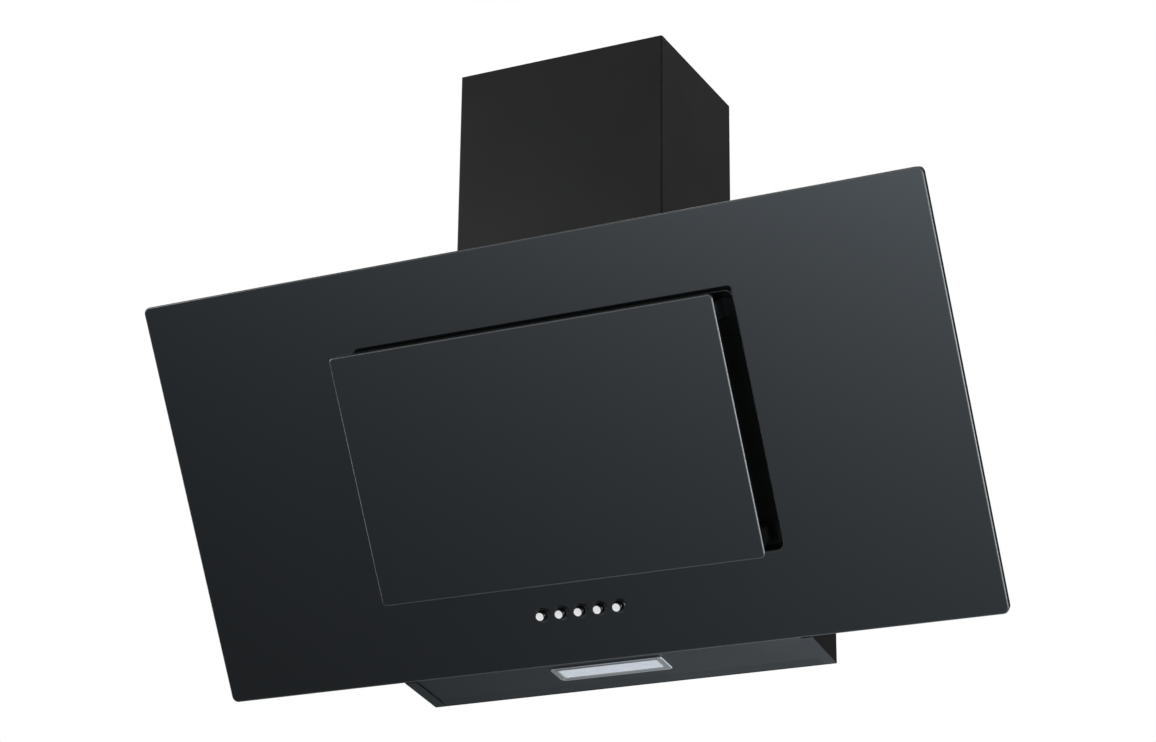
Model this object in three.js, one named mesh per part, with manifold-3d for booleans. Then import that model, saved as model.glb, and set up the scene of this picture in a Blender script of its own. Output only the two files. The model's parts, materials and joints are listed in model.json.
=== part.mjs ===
// A wall-mounted chimney range hood, 90 cm wide, with a tilted black glass front.
//
// The front glass leans forward: its top edge stands out from the wall and its bottom edge
// is close to it. A second sheet of glass, the flap, stands a little in front of an opening
// in the first. Air is drawn in through the gap round the flap, passes the grease filter
// behind it, and a centrifugal fan blows it up through a collar with two damper flaps into
// the chimney. Five push buttons sit below the flap and a lamp is set in the underside.
//
// Frame: millimetres, X to the right, Y towards the wall, Z up. The wall is the plane y = 0,
// and the origin is the middle of the body's flat back.

import * as THREE from 'three';
import { mergeVertices } from 'three/addons/utils/BufferGeometryUtils.js';
import Module from 'manifold-3d';

const wasm = await Module();
wasm.setup();

// ---------------------------------------------------------------- driving dimensions

const RUNNING_GAP = 0.3;          // between pieces that touch
const SHEET = 1.2;                // folded sheet steel

// glass front
const GLASS_WIDTH = 900;
const GLASS_LENGTH = 452;         // along the slope
const GLASS_THICKNESS = 4;
const GLASS_CORNER = 7;           // corner radius
const GLASS_BEVEL = 0.5;          // ground edge
const GLASS_LEAN = 30;            // degrees from upright, top edge forward
const GLASS_FOOT_FROM_WALL = 82;  // front of the bottom edge
const GLASS_FOOT_RISE = 7.5;      // above the lowest edge of the body
const TRAY_DEPTH = 6;             // sheet tray that the glass is bonded to
const TRAY_INSET = 0.8;           // tray edge inside the glass edge
const TRAY_RIB_WIDTH = 12;
const TRAY_RIB_SHARES = [0.58, 0.8];   // places of the ribs, from the middle to the side
const TRAY_RIB_END = 30;          // ribs end before the edges of the tray

// flap, and the opening in the glass behind it
const FLAP_WIDTH = 441;
const FLAP_LENGTH = 273;
const FLAP_CORNER = 5;
const FLAP_FOOT = 93;             // from the bottom edge of the glass, along the slope
const OPENING_SIDE_GAP = 9.5;     // opening wider than the flap, each side
const OPENING_END_COVER = 0.5;    // opening shorter than the flap, each end
const OPENING_CORNER = 8;
const FLAP_STANDOFF = 30.6;       // front of the flap before the front of the glass
const FLAP_TRAY_DEPTH = 12;
const FLAP_TRAY_INSET = 5;
const HINGE_BELOW_TOP = 16;       // hinge axis below the top edge of the flap
const HINGE_HEIGHT = 9;           // hinge axis before the front of the glass
const HINGE_FROM_SIDE = 12;       // hinge ears inside the side of the flap
const HINGE_PIN_DIAMETER = 5;
const HINGE_CLEARANCE = 0.3;
const HINGE_EAR = 9;              // diameter of the ears round the pin
const HINGE_EAR_THICKNESS = 2;
const HINGE_PIN_END = 3;          // pin beyond the ears, each end
const HINGE_PIN_HEAD = 8;
const HINGE_ARM_REACH = 22;       // web of the arm, down the slope from the axis
const HINGE_FOOT_WIDTH = 20;
const HINGE_ARM_FOOT = 26;        // foot of the arm, along the slope
const BRACKET_FOOT_LENGTH = 19;
const CATCH_RISE = 17;            // magnet catches above the foot of the flap
const CATCH_WIDTH = 12;           // magnet
const CATCH_LENGTH = 17;
const CATCH_RIM = 3;              // base of the post round the magnet
const CATCH_PLATE_THICKNESS = 1.2;
const MAGNET_THICKNESS = 4;

// body
const BODY_BESIDE_OPENING = 7;    // body wider than the opening, each side
const GLASS_OVER_ROOF = 16.94;    // top edge of the glass above the roof
const UNDERSIDE_SLOPE = 8.1;      // degrees, rising towards the front
const BOTTOM_LIP = 12;            // edges of the bottom panel, folded up at the tray and the wall
const PANEL_FROM_WALL = 4;        // back edge of the bottom panel
const SIDE_FLANGE = 13;           // flange along each side of the underside
const TRAY_FLANGE = 18;           // flange that fixes the body to the glass tray
const FLANGE_ENDS = [8, 30];      // tray flange short of the glass, at its foot and its head
const ROOF_RIM = 14;
const KEYHOLE_FROM_SIDE = 57;
const KEYHOLE_BELOW_TOP = 42;
const KEYHOLE_HEAD = 12;
const KEYHOLE_SLOT = 6;
const FIXING_FROM_SIDE = 30;      // lower fixing holes
const FIXING_RISE = 36;

// recess behind the opening, and the grease filter in it
const RECESS_DEPTH = 24;          // from the front of the glass to the recess floor
const RECESS_FLANGE = 18;         // flange round the mouth of the recess, at its ends
const FILTER_SIDE_ROOM = 34;      // between the filter and the side of the opening
const FILTER_END_ROOM = 16;
const FILTER_THICKNESS = 9;
const FILTER_RIM = 13;            // width of the filter's channel frame
const FILTER_LEDGE = 9;           // floor that the filter rests on, all round
const FILTER_FOLDS = 14;          // slopes of the corrugated sheet
const MESH_SHEET = 1;
const SLOT_COLUMNS = 3;
const SLOT_BRIDGE = 23;           // sheet left between two slots of a row
const SLOT_WIDTH = 7;
const LATCH_WIDTH = 44;
const LATCH_LENGTH = 16;
const LATCH_TRAVEL = 5;
const LATCH_TIP_WIDTH = 16;
const LATCH_LIP_HEIGHT = 5;       // finger lip above the face of the filter

// push buttons
const BUTTON_COUNT = 5;
const BUTTON_PITCH = 22.2;
const BUTTON_ROW_CENTRE = -7;     // the row sits a little left of the middle
const BUTTON_ROW_RISE = 56.5;     // above the bottom edge of the glass
const BUTTON_DIAMETER = 9.8;
const BUTTON_PROUD = 9;           // cap face before the glass
const BUTTON_CLEARANCE = 0.35;
const BEZEL_DIAMETER = 15;
const BEZEL_PROUD = 1.6;
const BEZEL_WALL = 1.1;
const SWITCH_DEPTH = 24;          // switch housing behind the tray
const SWITCH_WIDTH = 26;
const SWITCH_FLANGE = 4;          // flange round the housing, and 11 at its ends
const SWITCH_FLANGE_END = 11;
const SWITCH_FLANGE_THICKNESS = 2;
const SWITCH_BORE_DEPTH = 14;
const STEM_DEPTH = 8;             // stem into the housing

// lamp in the underside
const LAMP_LENGTH = 131;
const LAMP_WIDTH = 33.5;
const LAMP_FROM_WALL = 49;        // middle of the lamp, along the underside
const LAMP_CORNER = 5;
const LENS_LENGTH = 115;
const LENS_WIDTH = 20.5;
const LAMP_HOUSING_HEIGHT = 26;
const LAMP_LIP = 4;               // bezel over the edge of its cut-out, all round
const LAMP_COLLAR_HEIGHT = 6;
const LENS_THICKNESS = 2;
const LAMP_EAR = 10;
const DIODE_COUNT = 6;
const DIODE_SIDE = 5;
const BOARD_THICKNESS = 1.6;

// fan
const WHEEL_DIAMETER = 190;
const WHEEL_WIDTH = 84;
const WHEEL_EYE = 156;            // inner diameter of the blade ring
const BLADE_COUNT = 27;
const WHEEL_FACETS = 32;
const BLADE_THICKNESS = 1.2;
const BLADE_SWEEP = 8;            // degrees that the blade's tip leads its root
const BLADE_BOW = 3.4;            // depth of the blade's curve
const SCROLL_WALL = 1.8;
const SCROLL_START = 103;         // casing radius at the tongue
const SCROLL_END = 133;           // casing radius at the outlet
const TONGUE_ANGLE = 65;          // degrees above the horizontal
const SCROLL_BACK_FROM_WALL = 4;
const SCROLL_DEPTH = 100;
const FAN_AXIS_HEIGHT = 61.5;     // above the origin
const INLET_CLEARANCE = 5;        // inlet mouth inside the eye of the wheel, all round
const INLET_ROLL = 8;             // radius of the rolled mouth
const MOTOR_DIAMETER = 92;
const MOTOR_LENGTH = 48;
const SHAFT_DIAMETER = 8;
const SHAFT_BURIED = 18;          // shaft inside the motor
const SHAFT_END = 1;              // shaft beyond the nut
const NUT_WIDTH = 16;
const NUT_HEIGHT = 7;
const HUB_LENGTH = 16;
const HUB_DIAMETER = 28;
const DISC_THICKNESS = 2;
const DISC_CLEARANCE = 4;         // wheel disc before the motor
const RING_WIDTH = 2.4;
const WHEEL_CLEARANCE = 7;        // wheel before the back of the casing
const MOTOR_FLANGE = 8;
const CASE_LIP = 12;              // flange of the outlet under the roof
const CASE_EAR = 12;
const CASE_EAR_ANGLES = [110, 180, 250, 320];

// duct adapter with its damper flaps
const DUCT_DIAMETER = 150;
const DUCT_WALL = 2;
const ADAPTER_HEIGHT = 46;        // from rectangle to circle
const SPIGOT_HEIGHT = 44;
const DAMPER_RISE = 14;           // hinge pin above the start of the spigot
const DAMPER_PIN_DIAMETER = 4;
const DAMPER_THICKNESS = 1.2;
const DAMPER_CLEARANCE = 3;
const KNUCKLE_DIAMETER = 8;
const KNUCKLE_LENGTH = 16;
const KNUCKLE_PITCH = 22;
const ADAPTER_FLANGE = 11;
const BEAD_HEIGHT = 1.8;
const BEAD_BELOW_TOP = 9;

// chimney covers
const CHIMNEY_WIDTH = 246;
const CHIMNEY_DEPTH = 192;
const CHIMNEY_LOWER_HEIGHT = 286;
const CHIMNEY_UPPER_HEIGHT = 263;
const CHIMNEY_CLEARANCE = 0.6;
const CHIMNEY_RETURN = 16;        // flange folded in at the wall
const CHIMNEY_FOOT_HEIGHT = 20;
const CHIMNEY_FOOT_FLANGE = 14;
const CHIMNEY_FOOT_FROM_WALL = 30;
const WALL_BRACKET_HEIGHT = 18;
const WALL_BRACKET_SHEET = 1.5;
const WALL_BRACKET_EAR = 26;
const WALL_BRACKET_BELOW_TOP = 6;
const WALL_BRACKET_BESIDE = 4;    // between the folded edge of the cover and the bracket
const VENT_COUNT = 7;
const VENT_LENGTH = 60;
const VENT_WIDTH = 4;
const VENT_PITCH = 9;
const VENT_BELOW_TOP = 34;

// electrics
const CONTROL_BOX = { width: 130, height: 120, depth: 40, wall: 2 };
const CONTROL_BOX_FROM_SIDE = 22;
const LID_THICKNESS = 2;
const CONTROL_BOX_CENTRE_HEIGHT = 60;
const CAPACITOR_DIAMETER = 30;
const CAPACITOR_LENGTH = 58;
const GLAND_DIAMETER = 18;
const GLAND_BORE = 8;
const GLAND_FROM_SIDE = 28;       // inside the side of the chimney
const GLAND_FROM_WALL = 44;
const GLAND_HEIGHT = 14;

// ---------------------------------------------------------------- worked out from them

const rad = THREE.MathUtils.degToRad;
const OPENING_WIDTH = FLAP_WIDTH + 2 * OPENING_SIDE_GAP;
const OPENING_LENGTH = FLAP_LENGTH - 2 * OPENING_END_COVER;
const OPENING_FOOT = FLAP_FOOT + OPENING_END_COVER;
const BODY_WIDTH = OPENING_WIDTH + 2 * BODY_BESIDE_OPENING;
const BODY_HEIGHT = GLASS_FOOT_RISE + GLASS_LENGTH * Math.cos(rad(GLASS_LEAN)) - GLASS_OVER_ROOF;
const FILTER_WIDTH = OPENING_WIDTH - 2 * FILTER_SIDE_ROOM;
const FILTER_LENGTH = OPENING_LENGTH - 2 * FILTER_END_ROOM;
const BODY_BOTTOM = -BODY_HEIGHT / 2;
const BODY_TOP = BODY_HEIGHT / 2;
const HALF_BODY = BODY_WIDTH / 2;
const TRAY_BACK = GLASS_THICKNESS + TRAY_DEPTH;             // behind the front of the glass
const BODY_FRONT = TRAY_BACK + RUNNING_GAP;
const OPENING_CENTRE = OPENING_FOOT + OPENING_LENGTH / 2;
const FLAP_CENTRE = FLAP_FOOT + FLAP_LENGTH / 2;
const FLAP_BACK = FLAP_STANDOFF - GLASS_THICKNESS;
const FLAP_TRAY_BACK = FLAP_BACK - RUNNING_GAP - FLAP_TRAY_DEPTH;
const HINGE_SLOPE = FLAP_FOOT + FLAP_LENGTH - HINGE_BELOW_TOP;
const FILTER_CENTRE = OPENING_CENTRE;
const FAN_AXIS_X = -(SCROLL_END + SCROLL_START * Math.cos(rad(TONGUE_ANGLE))) / 2;
const SCROLL_FRONT = SCROLL_BACK_FROM_WALL + SCROLL_DEPTH;
const CHIMNEY_BASE = BODY_TOP + RUNNING_GAP;
const CONTROL_BOX_X = HALF_BODY - CONTROL_BOX_FROM_SIDE - CONTROL_BOX.width / 2;
const GLAND_X = CHIMNEY_WIDTH / 2 - GLAND_FROM_SIDE;
const GLAND_THREAD = GLAND_DIAMETER * 0.7;

// ---------------------------------------------------------------- finishes

const finish = (color, roughness, metalness, name) =>
  () => new THREE.MeshStandardMaterial({ color, roughness, metalness, name });
const blackGlass = finish(0x1c1f22, 0.08, 0.0, 'black glass');
const blackPaint = finish(0x232423, 0.45, 0.2, 'satin black paint');
const zincSteel = finish(0x9a9d9f, 0.4, 0.9, 'zinc-plated steel');
const aluminium = finish(0xb9bcbf, 0.35, 0.95, 'aluminium');
const chrome = finish(0xdedfe2, 0.12, 1.0, 'chrome');
const blackPlastic = finish(0x151617, 0.3, 0.0, 'black plastic');
const greyPlastic = finish(0x5f6468, 0.55, 0.0, 'grey plastic');
const diffuser = finish(0xd5dade, 0.35, 0.0, 'frosted diffuser');
const magnetBlack = finish(0x2b2b2d, 0.6, 0.3, 'ferrite');

// ---------------------------------------------------------------- solids

/** A closed geometry as a solid that can be joined and cut. */
function solid(geometry) {
  geometry.deleteAttribute('normal');
  geometry.deleteAttribute('uv');
  const merged = mergeVertices(geometry, 1e-4);
  return new wasm.Manifold(new wasm.Mesh({
    numProp: 3,
    vertProperties: new Float32Array(merged.attributes.position.array),
    triVerts: new Uint32Array(merged.index.array),
  }));
}

/** A solid back as a geometry. */
function geometryOf(manifold) {
  const mesh = manifold.getMesh();
  const geometry = new THREE.BufferGeometry();
  geometry.setAttribute('position', new THREE.BufferAttribute(new Float32Array(mesh.vertProperties), 3));
  geometry.setIndex(new THREE.BufferAttribute(new Uint32Array(mesh.triVerts), 1));
  geometry.computeVertexNormals();
  return geometry;
}

const join = (first, ...rest) => rest.reduce((sum, next) => sum.add(next), first);
const cut = (first, ...rest) => rest.reduce((sum, next) => sum.subtract(next), first);

/** A block between two corners. */
function block(x0, x1, y0, y1, z0, z1) {
  const geometry = new THREE.BoxGeometry(x1 - x0, y1 - y0, z1 - z0);
  geometry.translate((x0 + x1) / 2, (y0 + y1) / 2, (z0 + z1) / 2);
  return solid(geometry);
}

/** A rectangle with rounded corners, as a Shape, or as a hole when Kind is THREE.Path. */
function roundedRectangle(width, length, radius, x = 0, y = 0, Kind = THREE.Shape) {
  const [a, b] = [width / 2, length / 2];
  const outline = new Kind();
  outline.absarc(x + a - radius, y + b - radius, radius, 0, Math.PI / 2);
  outline.absarc(x - a + radius, y + b - radius, radius, Math.PI / 2, Math.PI);
  outline.absarc(x - a + radius, y - b + radius, radius, Math.PI, Math.PI * 1.5);
  outline.absarc(x + a - radius, y - b + radius, radius, Math.PI * 1.5, Math.PI * 2);
  outline.closePath();
  return outline;
}

/** A sheet of the given outline between two heights. */
function sheet(outline, z0, z1, segments = 2) {
  const geometry = new THREE.ExtrudeGeometry(outline, {
    depth: z1 - z0, bevelEnabled: false, curveSegments: segments,
  });
  geometry.translate(0, 0, z0);
  return solid(geometry);
}

/** A cylinder along local Z between two heights. */
function rod(diameter, z0, z1, x = 0, y = 0, sides = 16) {
  const geometry = new THREE.CylinderGeometry(diameter / 2, diameter / 2, z1 - z0, sides);
  geometry.rotateX(Math.PI / 2);
  geometry.translate(x, y, (z0 + z1) / 2);
  return solid(geometry);
}

/** A body of revolution round local Z; the profile is a list of [radius, height]. */
function turned(profile, sides = 32) {
  const geometry = new THREE.LatheGeometry(profile.map(([r, z]) => new THREE.Vector2(r, z)), sides);
  geometry.rotateX(Math.PI / 2);
  const made = solid(geometry);
  return made.volume() < 0 ? solid(flipped(geometry)) : made;
}

/** The same surface with its faces turned the other way. */
function flipped(geometry) {
  const merged = mergeVertices(geometry, 1e-4);
  const index = merged.index.array;
  for (let i = 0; i < index.length; i += 3) [index[i], index[i + 1]] = [index[i + 1], index[i]];
  return merged;
}

/** A solid stacked from rings with the same number of points, closed at both ends. */
function loft(rings) {
  const count = rings[0].length;
  const points = rings.flat();
  const index = [];
  for (let k = 0; k + 1 < rings.length; k += 1) {
    for (let i = 0; i < count; i += 1) {
      const [a, b] = [k * count + i, k * count + ((i + 1) % count)];
      index.push(a, b, b + count, a, b + count, a + count);
    }
  }
  const last = (rings.length - 1) * count;
  for (let i = 1; i + 1 < count; i += 1) {
    index.push(0, i + 1, i);
    index.push(last, last + i, last + i + 1);
  }
  const geometry = new THREE.BufferGeometry().setFromPoints(points);
  geometry.setIndex(index);
  return solid(geometry);
}

/** A named piece in a group. */
function piece(name, shape, material, group) {
  const mesh = new THREE.Mesh(geometryOf(shape), material());
  mesh.name = name;
  group.add(mesh);
  return mesh;
}

const hood = new THREE.Group();
hood.name = 'chimney_hood';

// Slope frame: x across, y up the slope from the bottom edge of the glass, z out of the glass.
const slope = new THREE.Group();
slope.position.set(0, -GLASS_FOOT_FROM_WALL, BODY_BOTTOM + GLASS_FOOT_RISE);
slope.rotation.x = rad(90 + GLASS_LEAN);
hood.add(slope);

// Underside frame: x across, y towards the wall along the underside, z into the body.
const underside = new THREE.Group();
underside.position.set(0, 0, BODY_BOTTOM);
underside.rotation.x = -rad(UNDERSIDE_SLOPE);
hood.add(underside);

// Wall frame: x across, y up, z away from the wall.
const wall = new THREE.Group();
wall.rotation.x = Math.PI / 2;
hood.add(wall);

/** The point on the wall frame (distance from the wall, height) of a point on the slope. */
function slopePoint(along, out) {
  const [s, c] = [Math.sin(rad(GLASS_LEAN)), Math.cos(rad(GLASS_LEAN))];
  return {
    out: GLASS_FOOT_FROM_WALL + along * s + out * c,
    up: BODY_BOTTOM + GLASS_FOOT_RISE + along * c - out * s,
  };
}

/** Distance along the underside at which it meets the plane `out` before the glass. */
function undersideReach(out) {
  const [s, c] = [Math.sin(rad(GLASS_LEAN)), Math.cos(rad(GLASS_LEAN))];
  const [su, cu] = [Math.sin(rad(UNDERSIDE_SLOPE)), Math.cos(rad(UNDERSIDE_SLOPE))];
  return (out + GLASS_FOOT_FROM_WALL * c - GLASS_FOOT_RISE * s) / (cu * c - su * s);
}

// ---------------------------------------------------------------- glass front

const buttonX = (i) => BUTTON_ROW_CENTRE + (i - (BUTTON_COUNT - 1) / 2) * BUTTON_PITCH;
const BEZEL_TUBE = BUTTON_DIAMETER + 2 * BUTTON_CLEARANCE + 2 * BEZEL_WALL;

/** A flat sheet of glass with a ground edge; holes keep square edges. */
function glassSheet(outline, front) {
  const geometry = new THREE.ExtrudeGeometry(outline, {
    depth: GLASS_THICKNESS - 2 * GLASS_BEVEL, curveSegments: 3,
    bevelSize: GLASS_BEVEL, bevelThickness: GLASS_BEVEL, bevelOffset: -GLASS_BEVEL, bevelSegments: 1,
  });
  geometry.translate(0, 0, front - GLASS_THICKNESS + GLASS_BEVEL);
  return solid(geometry);
}

function buildGlassFront() {
  const glass = roundedRectangle(GLASS_WIDTH, GLASS_LENGTH, GLASS_CORNER, 0, GLASS_LENGTH / 2);
  glass.holes.push(roundedRectangle(
    OPENING_WIDTH, OPENING_LENGTH, OPENING_CORNER, 0, OPENING_CENTRE, THREE.Path));
  let pane = glassSheet(glass, 0);
  for (let i = 0; i < BUTTON_COUNT; i += 1) {
    const hole = BEZEL_TUBE + 2 * RUNNING_GAP;
    pane = cut(pane, rod(hole, -GLASS_THICKNESS - 1, 1, buttonX(i), BUTTON_ROW_RISE, 12));
  }
  piece('front_glass', pane, blackGlass, slope);

  // The tray is open towards the glass; its rim and the rim of its opening carry the glass.
  const front = -GLASS_THICKNESS - RUNNING_GAP;
  const back = -TRAY_BACK;
  const trayWidth = GLASS_WIDTH - 2 * TRAY_INSET;
  const trayLength = GLASS_LENGTH - 2 * TRAY_INSET;
  const corner = GLASS_CORNER - TRAY_INSET;
  const outer = roundedRectangle(trayWidth, trayLength, corner, 0, GLASS_LENGTH / 2);
  const inner = roundedRectangle(
    trayWidth - 2 * SHEET, trayLength - 2 * SHEET, corner - SHEET, 0, GLASS_LENGTH / 2);
  const collar = 2 * (SHEET + RUNNING_GAP);
  const mouth = roundedRectangle(
    OPENING_WIDTH + collar, OPENING_LENGTH + collar, OPENING_CORNER, 0, OPENING_CENTRE);
  const throat = roundedRectangle(
    OPENING_WIDTH + 2 * RUNNING_GAP, OPENING_LENGTH + 2 * RUNNING_GAP, OPENING_CORNER, 0, OPENING_CENTRE);
  let tray = cut(sheet(outer, back, front), sheet(inner, back + SHEET, front + 1));
  tray = join(tray, sheet(mouth, back, front));
  tray = cut(tray, sheet(throat, back - 1, front + 1));
  const ribs = [-1, 1].flatMap((side) => TRAY_RIB_SHARES.map((share) => {
    const x = side * share * GLASS_WIDTH / 2;
    return block(x - TRAY_RIB_WIDTH / 2, x + TRAY_RIB_WIDTH / 2,
      TRAY_RIB_END, GLASS_LENGTH - TRAY_RIB_END, back + SHEET / 2, front);
  }));
  tray = join(tray, ...ribs);
  const rowHalf = (BUTTON_COUNT * BUTTON_PITCH) / 2 + 2;
  tray = cut(tray, block(
    BUTTON_ROW_CENTRE - rowHalf, BUTTON_ROW_CENTRE + rowHalf,
    BUTTON_ROW_RISE - BEZEL_DIAMETER / 2 - 1, BUTTON_ROW_RISE + BEZEL_DIAMETER / 2 + 1, back - 1, front));
  piece('glass_tray', tray, blackPaint, slope);
}

// ---------------------------------------------------------------- body

function buildBody() {
  const topFront = slopePoint(0, -BODY_FRONT);
  const slopeRun = Math.tan(rad(GLASS_LEAN));
  const frontAt = (height) => topFront.out + (height - topFront.up) * slopeRun;
  const reach = undersideReach(-BODY_FRONT);
  const bottomFront = {
    out: reach * Math.cos(rad(UNDERSIDE_SLOPE)),
    up: BODY_BOTTOM + reach * Math.sin(rad(UNDERSIDE_SLOPE)),
  };

  // Side wall, drawn with x away from the wall and y up, then turned to face sideways.
  const sideOutline = new THREE.Shape();
  sideOutline.moveTo(0, BODY_BOTTOM);
  sideOutline.lineTo(bottomFront.out, bottomFront.up);
  sideOutline.lineTo(frontAt(BODY_TOP), BODY_TOP);
  sideOutline.lineTo(0, BODY_TOP);
  sideOutline.closePath();
  const sideWall = (x) => {
    const geometry = new THREE.ExtrudeGeometry(sideOutline, { depth: SHEET, bevelEnabled: false });
    const [right, up, away] = [
      new THREE.Vector3(0, 0, 1), new THREE.Vector3(0, 1, 0), new THREE.Vector3(-1, 0, 0)];
    geometry.applyMatrix4(new THREE.Matrix4().makeBasis(right, up, away));
    geometry.translate(x + SHEET, 0, 0);
    return solid(geometry);
  };

  // Back wall with two keyholes and two lower fixing holes.
  const back = new THREE.Shape();
  back.moveTo(-HALF_BODY, BODY_BOTTOM);
  back.lineTo(HALF_BODY, BODY_BOTTOM);
  back.lineTo(HALF_BODY, BODY_TOP);
  back.lineTo(-HALF_BODY, BODY_TOP);
  back.closePath();
  for (const side of [-1, 1]) {
    const x = side * (HALF_BODY - KEYHOLE_FROM_SIDE);
    const y = BODY_TOP - KEYHOLE_BELOW_TOP;
    const half = KEYHOLE_SLOT / 2;
    const reachAngle = Math.asin(KEYHOLE_SLOT / KEYHOLE_HEAD);
    const hole = new THREE.Path();
    hole.absarc(x, y, KEYHOLE_HEAD / 2, Math.PI / 2 + reachAngle, Math.PI * 2.5 - reachAngle);
    hole.absarc(x, y + KEYHOLE_HEAD, half, 0, Math.PI);
    hole.closePath();
    back.holes.push(hole);
    const fixing = new THREE.Path();
    fixing.absarc(side * (HALF_BODY - FIXING_FROM_SIDE), BODY_BOTTOM + FIXING_RISE, KEYHOLE_SLOT / 2,
      0, Math.PI * 2);
    back.holes.push(fixing);
  }
  let shell = join(sheet(back, 0, SHEET, 6), sideWall(-HALF_BODY), sideWall(HALF_BODY - SHEET));

  // Outward flanges along the slope, inward flanges along the underside.
  const inSlope = (made) => made.transform(frameToFrame(slope, wall));
  const inUnderside = (made) => made.transform(frameToFrame(underside, wall));
  const [flangeFoot, flangeHead] = [FLANGE_ENDS[0], GLASS_LENGTH - FLANGE_ENDS[1]];
  for (const side of [-1, 1]) {
    const [x0, x1] = side > 0
      ? [HALF_BODY - SHEET, HALF_BODY + TRAY_FLANGE] : [-HALF_BODY - TRAY_FLANGE, -HALF_BODY + SHEET];
    shell = join(shell, inSlope(block(
      x0, x1, flangeFoot, flangeHead, -BODY_FRONT - SHEET, -BODY_FRONT)));
    const [u0, u1] = side > 0
      ? [HALF_BODY - SIDE_FLANGE, HALF_BODY] : [-HALF_BODY, -HALF_BODY + SIDE_FLANGE];
    shell = join(shell, inUnderside(block(u0, u1, -reach + 1, 0, 0, SHEET)));
  }
  // What the sloping flanges would put past the wall or above the top is trimmed.
  const room = block(-HALF_BODY - TRAY_FLANGE - 1, HALF_BODY + TRAY_FLANGE + 1,
    BODY_BOTTOM, BODY_TOP, 0, GLASS_LENGTH);
  piece('body_shell', shell.intersect(room), blackPaint, wall);

  // Top plate inside the shell, with a rim folded down and the hole for the fan outlet.
  const roof = BODY_TOP;
  const inside = HALF_BODY - SHEET - RUNNING_GAP;
  const frontEdge = frontAt(roof) - 2;
  const backEdge = SHEET + RUNNING_GAP;
  const rim = ROOF_RIM;
  let top = cut(
    block(-inside, inside, roof - rim, roof, backEdge, frontEdge),
    block(-inside + SHEET, inside - SHEET, roof - rim - 1, roof - SHEET, backEdge + SHEET, frontEdge + 1),
    block(-inside - 1, inside + 1, roof - rim - 1, roof - SHEET, frontAt(roof - rim) - 2, frontEdge + 1));
  const outlet = outletRectangle();
  top = cut(top, block(
    outlet.left, outlet.right, roof - rim - 1, roof + 1, outlet.back, outlet.front));
  top = cut(top, rodUp(GLAND_THREAD + 2 * RUNNING_GAP, roof - rim, roof + 1, GLAND_X, GLAND_FROM_WALL));
  piece('top_plate', top, zincSteel, wall);

  // Bottom panel on the side flanges, with the cut-out for the lamp.
  const floorZ = SHEET + RUNNING_GAP;
  const panelHalf = HALF_BODY - SHEET - RUNNING_GAP - 1;
  const panelFront = -reach - floorZ * Math.tan(rad(GLASS_LEAN + UNDERSIDE_SLOPE));
  const panelBack = -PANEL_FROM_WALL;
  let panel = block(-panelHalf, panelHalf, panelFront, panelBack, floorZ, floorZ + SHEET);
  panel = join(panel,
    block(-panelHalf, panelHalf, panelBack - SHEET, panelBack, floorZ, floorZ + BOTTOM_LIP),
    block(-panelHalf, panelHalf, -BOTTOM_LIP / 4, BOTTOM_LIP, -BODY_FRONT - SHEET, -BODY_FRONT)
      .transform(frameToFrame(slope, underside)));
  panel = cut(panel, block(-HALF_BODY, HALF_BODY, panelFront - BOTTOM_LIP, 0, -BOTTOM_LIP, floorZ));
  panel = cut(panel, sheet(roundedRectangle(
    LAMP_LENGTH - 2 * LAMP_LIP, LAMP_WIDTH - 2 * LAMP_LIP, LAMP_CORNER - 2, 0, -LAMP_FROM_WALL),
  0, floorZ + SHEET + 1));
  piece('bottom_panel', panel, blackPaint, underside);
}

/** The inside of the fan outlet at the roof, in the wall frame. */
function outletRectangle() {
  const tongueX = FAN_AXIS_X + SCROLL_START * Math.cos(rad(TONGUE_ANGLE));
  return {
    left: tongueX, right: FAN_AXIS_X + SCROLL_END,
    back: SCROLL_BACK_FROM_WALL + SCROLL_WALL, front: SCROLL_FRONT - SCROLL_WALL - RUNNING_GAP,
  };
}

/** A cylinder standing upright in the wall frame. */
function rodUp(diameter, y0, y1, x, out, sides = 12) {
  const geometry = new THREE.CylinderGeometry(diameter / 2, diameter / 2, y1 - y0, sides);
  geometry.translate(x, (y0 + y1) / 2, out);
  return solid(geometry);
}

/** The matrix that turns a solid from one frame of the hood into another. */
function frameToFrame(from, to) {
  from.updateMatrix();
  to.updateMatrix();
  return new THREE.Matrix4().copy(to.matrix).invert().multiply(from.matrix).toArray();
}

// ---------------------------------------------------------------- recess and filter

function buildRecess() {
  const floor = -RECESS_DEPTH;
  const top = -BODY_FRONT;
  const innerWidth = OPENING_WIDTH + 2 * RUNNING_GAP;
  const innerLength = OPENING_LENGTH + 2 * RUNNING_GAP;
  const outerWidth = innerWidth + 2 * SHEET;
  const outerLength = innerLength + 2 * SHEET;
  const flangeWidth = BODY_WIDTH - 2 * SHEET - 2 * RUNNING_GAP;
  const flangeLength = outerLength + 2 * RECESS_FLANGE;
  let pan = join(
    sheet(roundedRectangle(outerWidth, outerLength, OPENING_CORNER, 0, OPENING_CENTRE), floor - SHEET, top),
    block(-flangeWidth / 2, flangeWidth / 2,
      OPENING_CENTRE - flangeLength / 2, OPENING_CENTRE + flangeLength / 2, top - SHEET, top));
  pan = cut(pan, sheet(
    roundedRectangle(innerWidth, innerLength, OPENING_CORNER - SHEET, 0, OPENING_CENTRE), floor, top + 1));
  const holeWidth = FILTER_WIDTH - 2 * FILTER_LEDGE;
  const holeLength = FILTER_LENGTH - 2 * FILTER_LEDGE;
  pan = cut(pan, sheet(
    roundedRectangle(holeWidth, holeLength, OPENING_CORNER, 0, FILTER_CENTRE), floor - SHEET - 1, floor + 1));
  piece('recess_pan', pan, blackPaint, slope);
}

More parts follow.
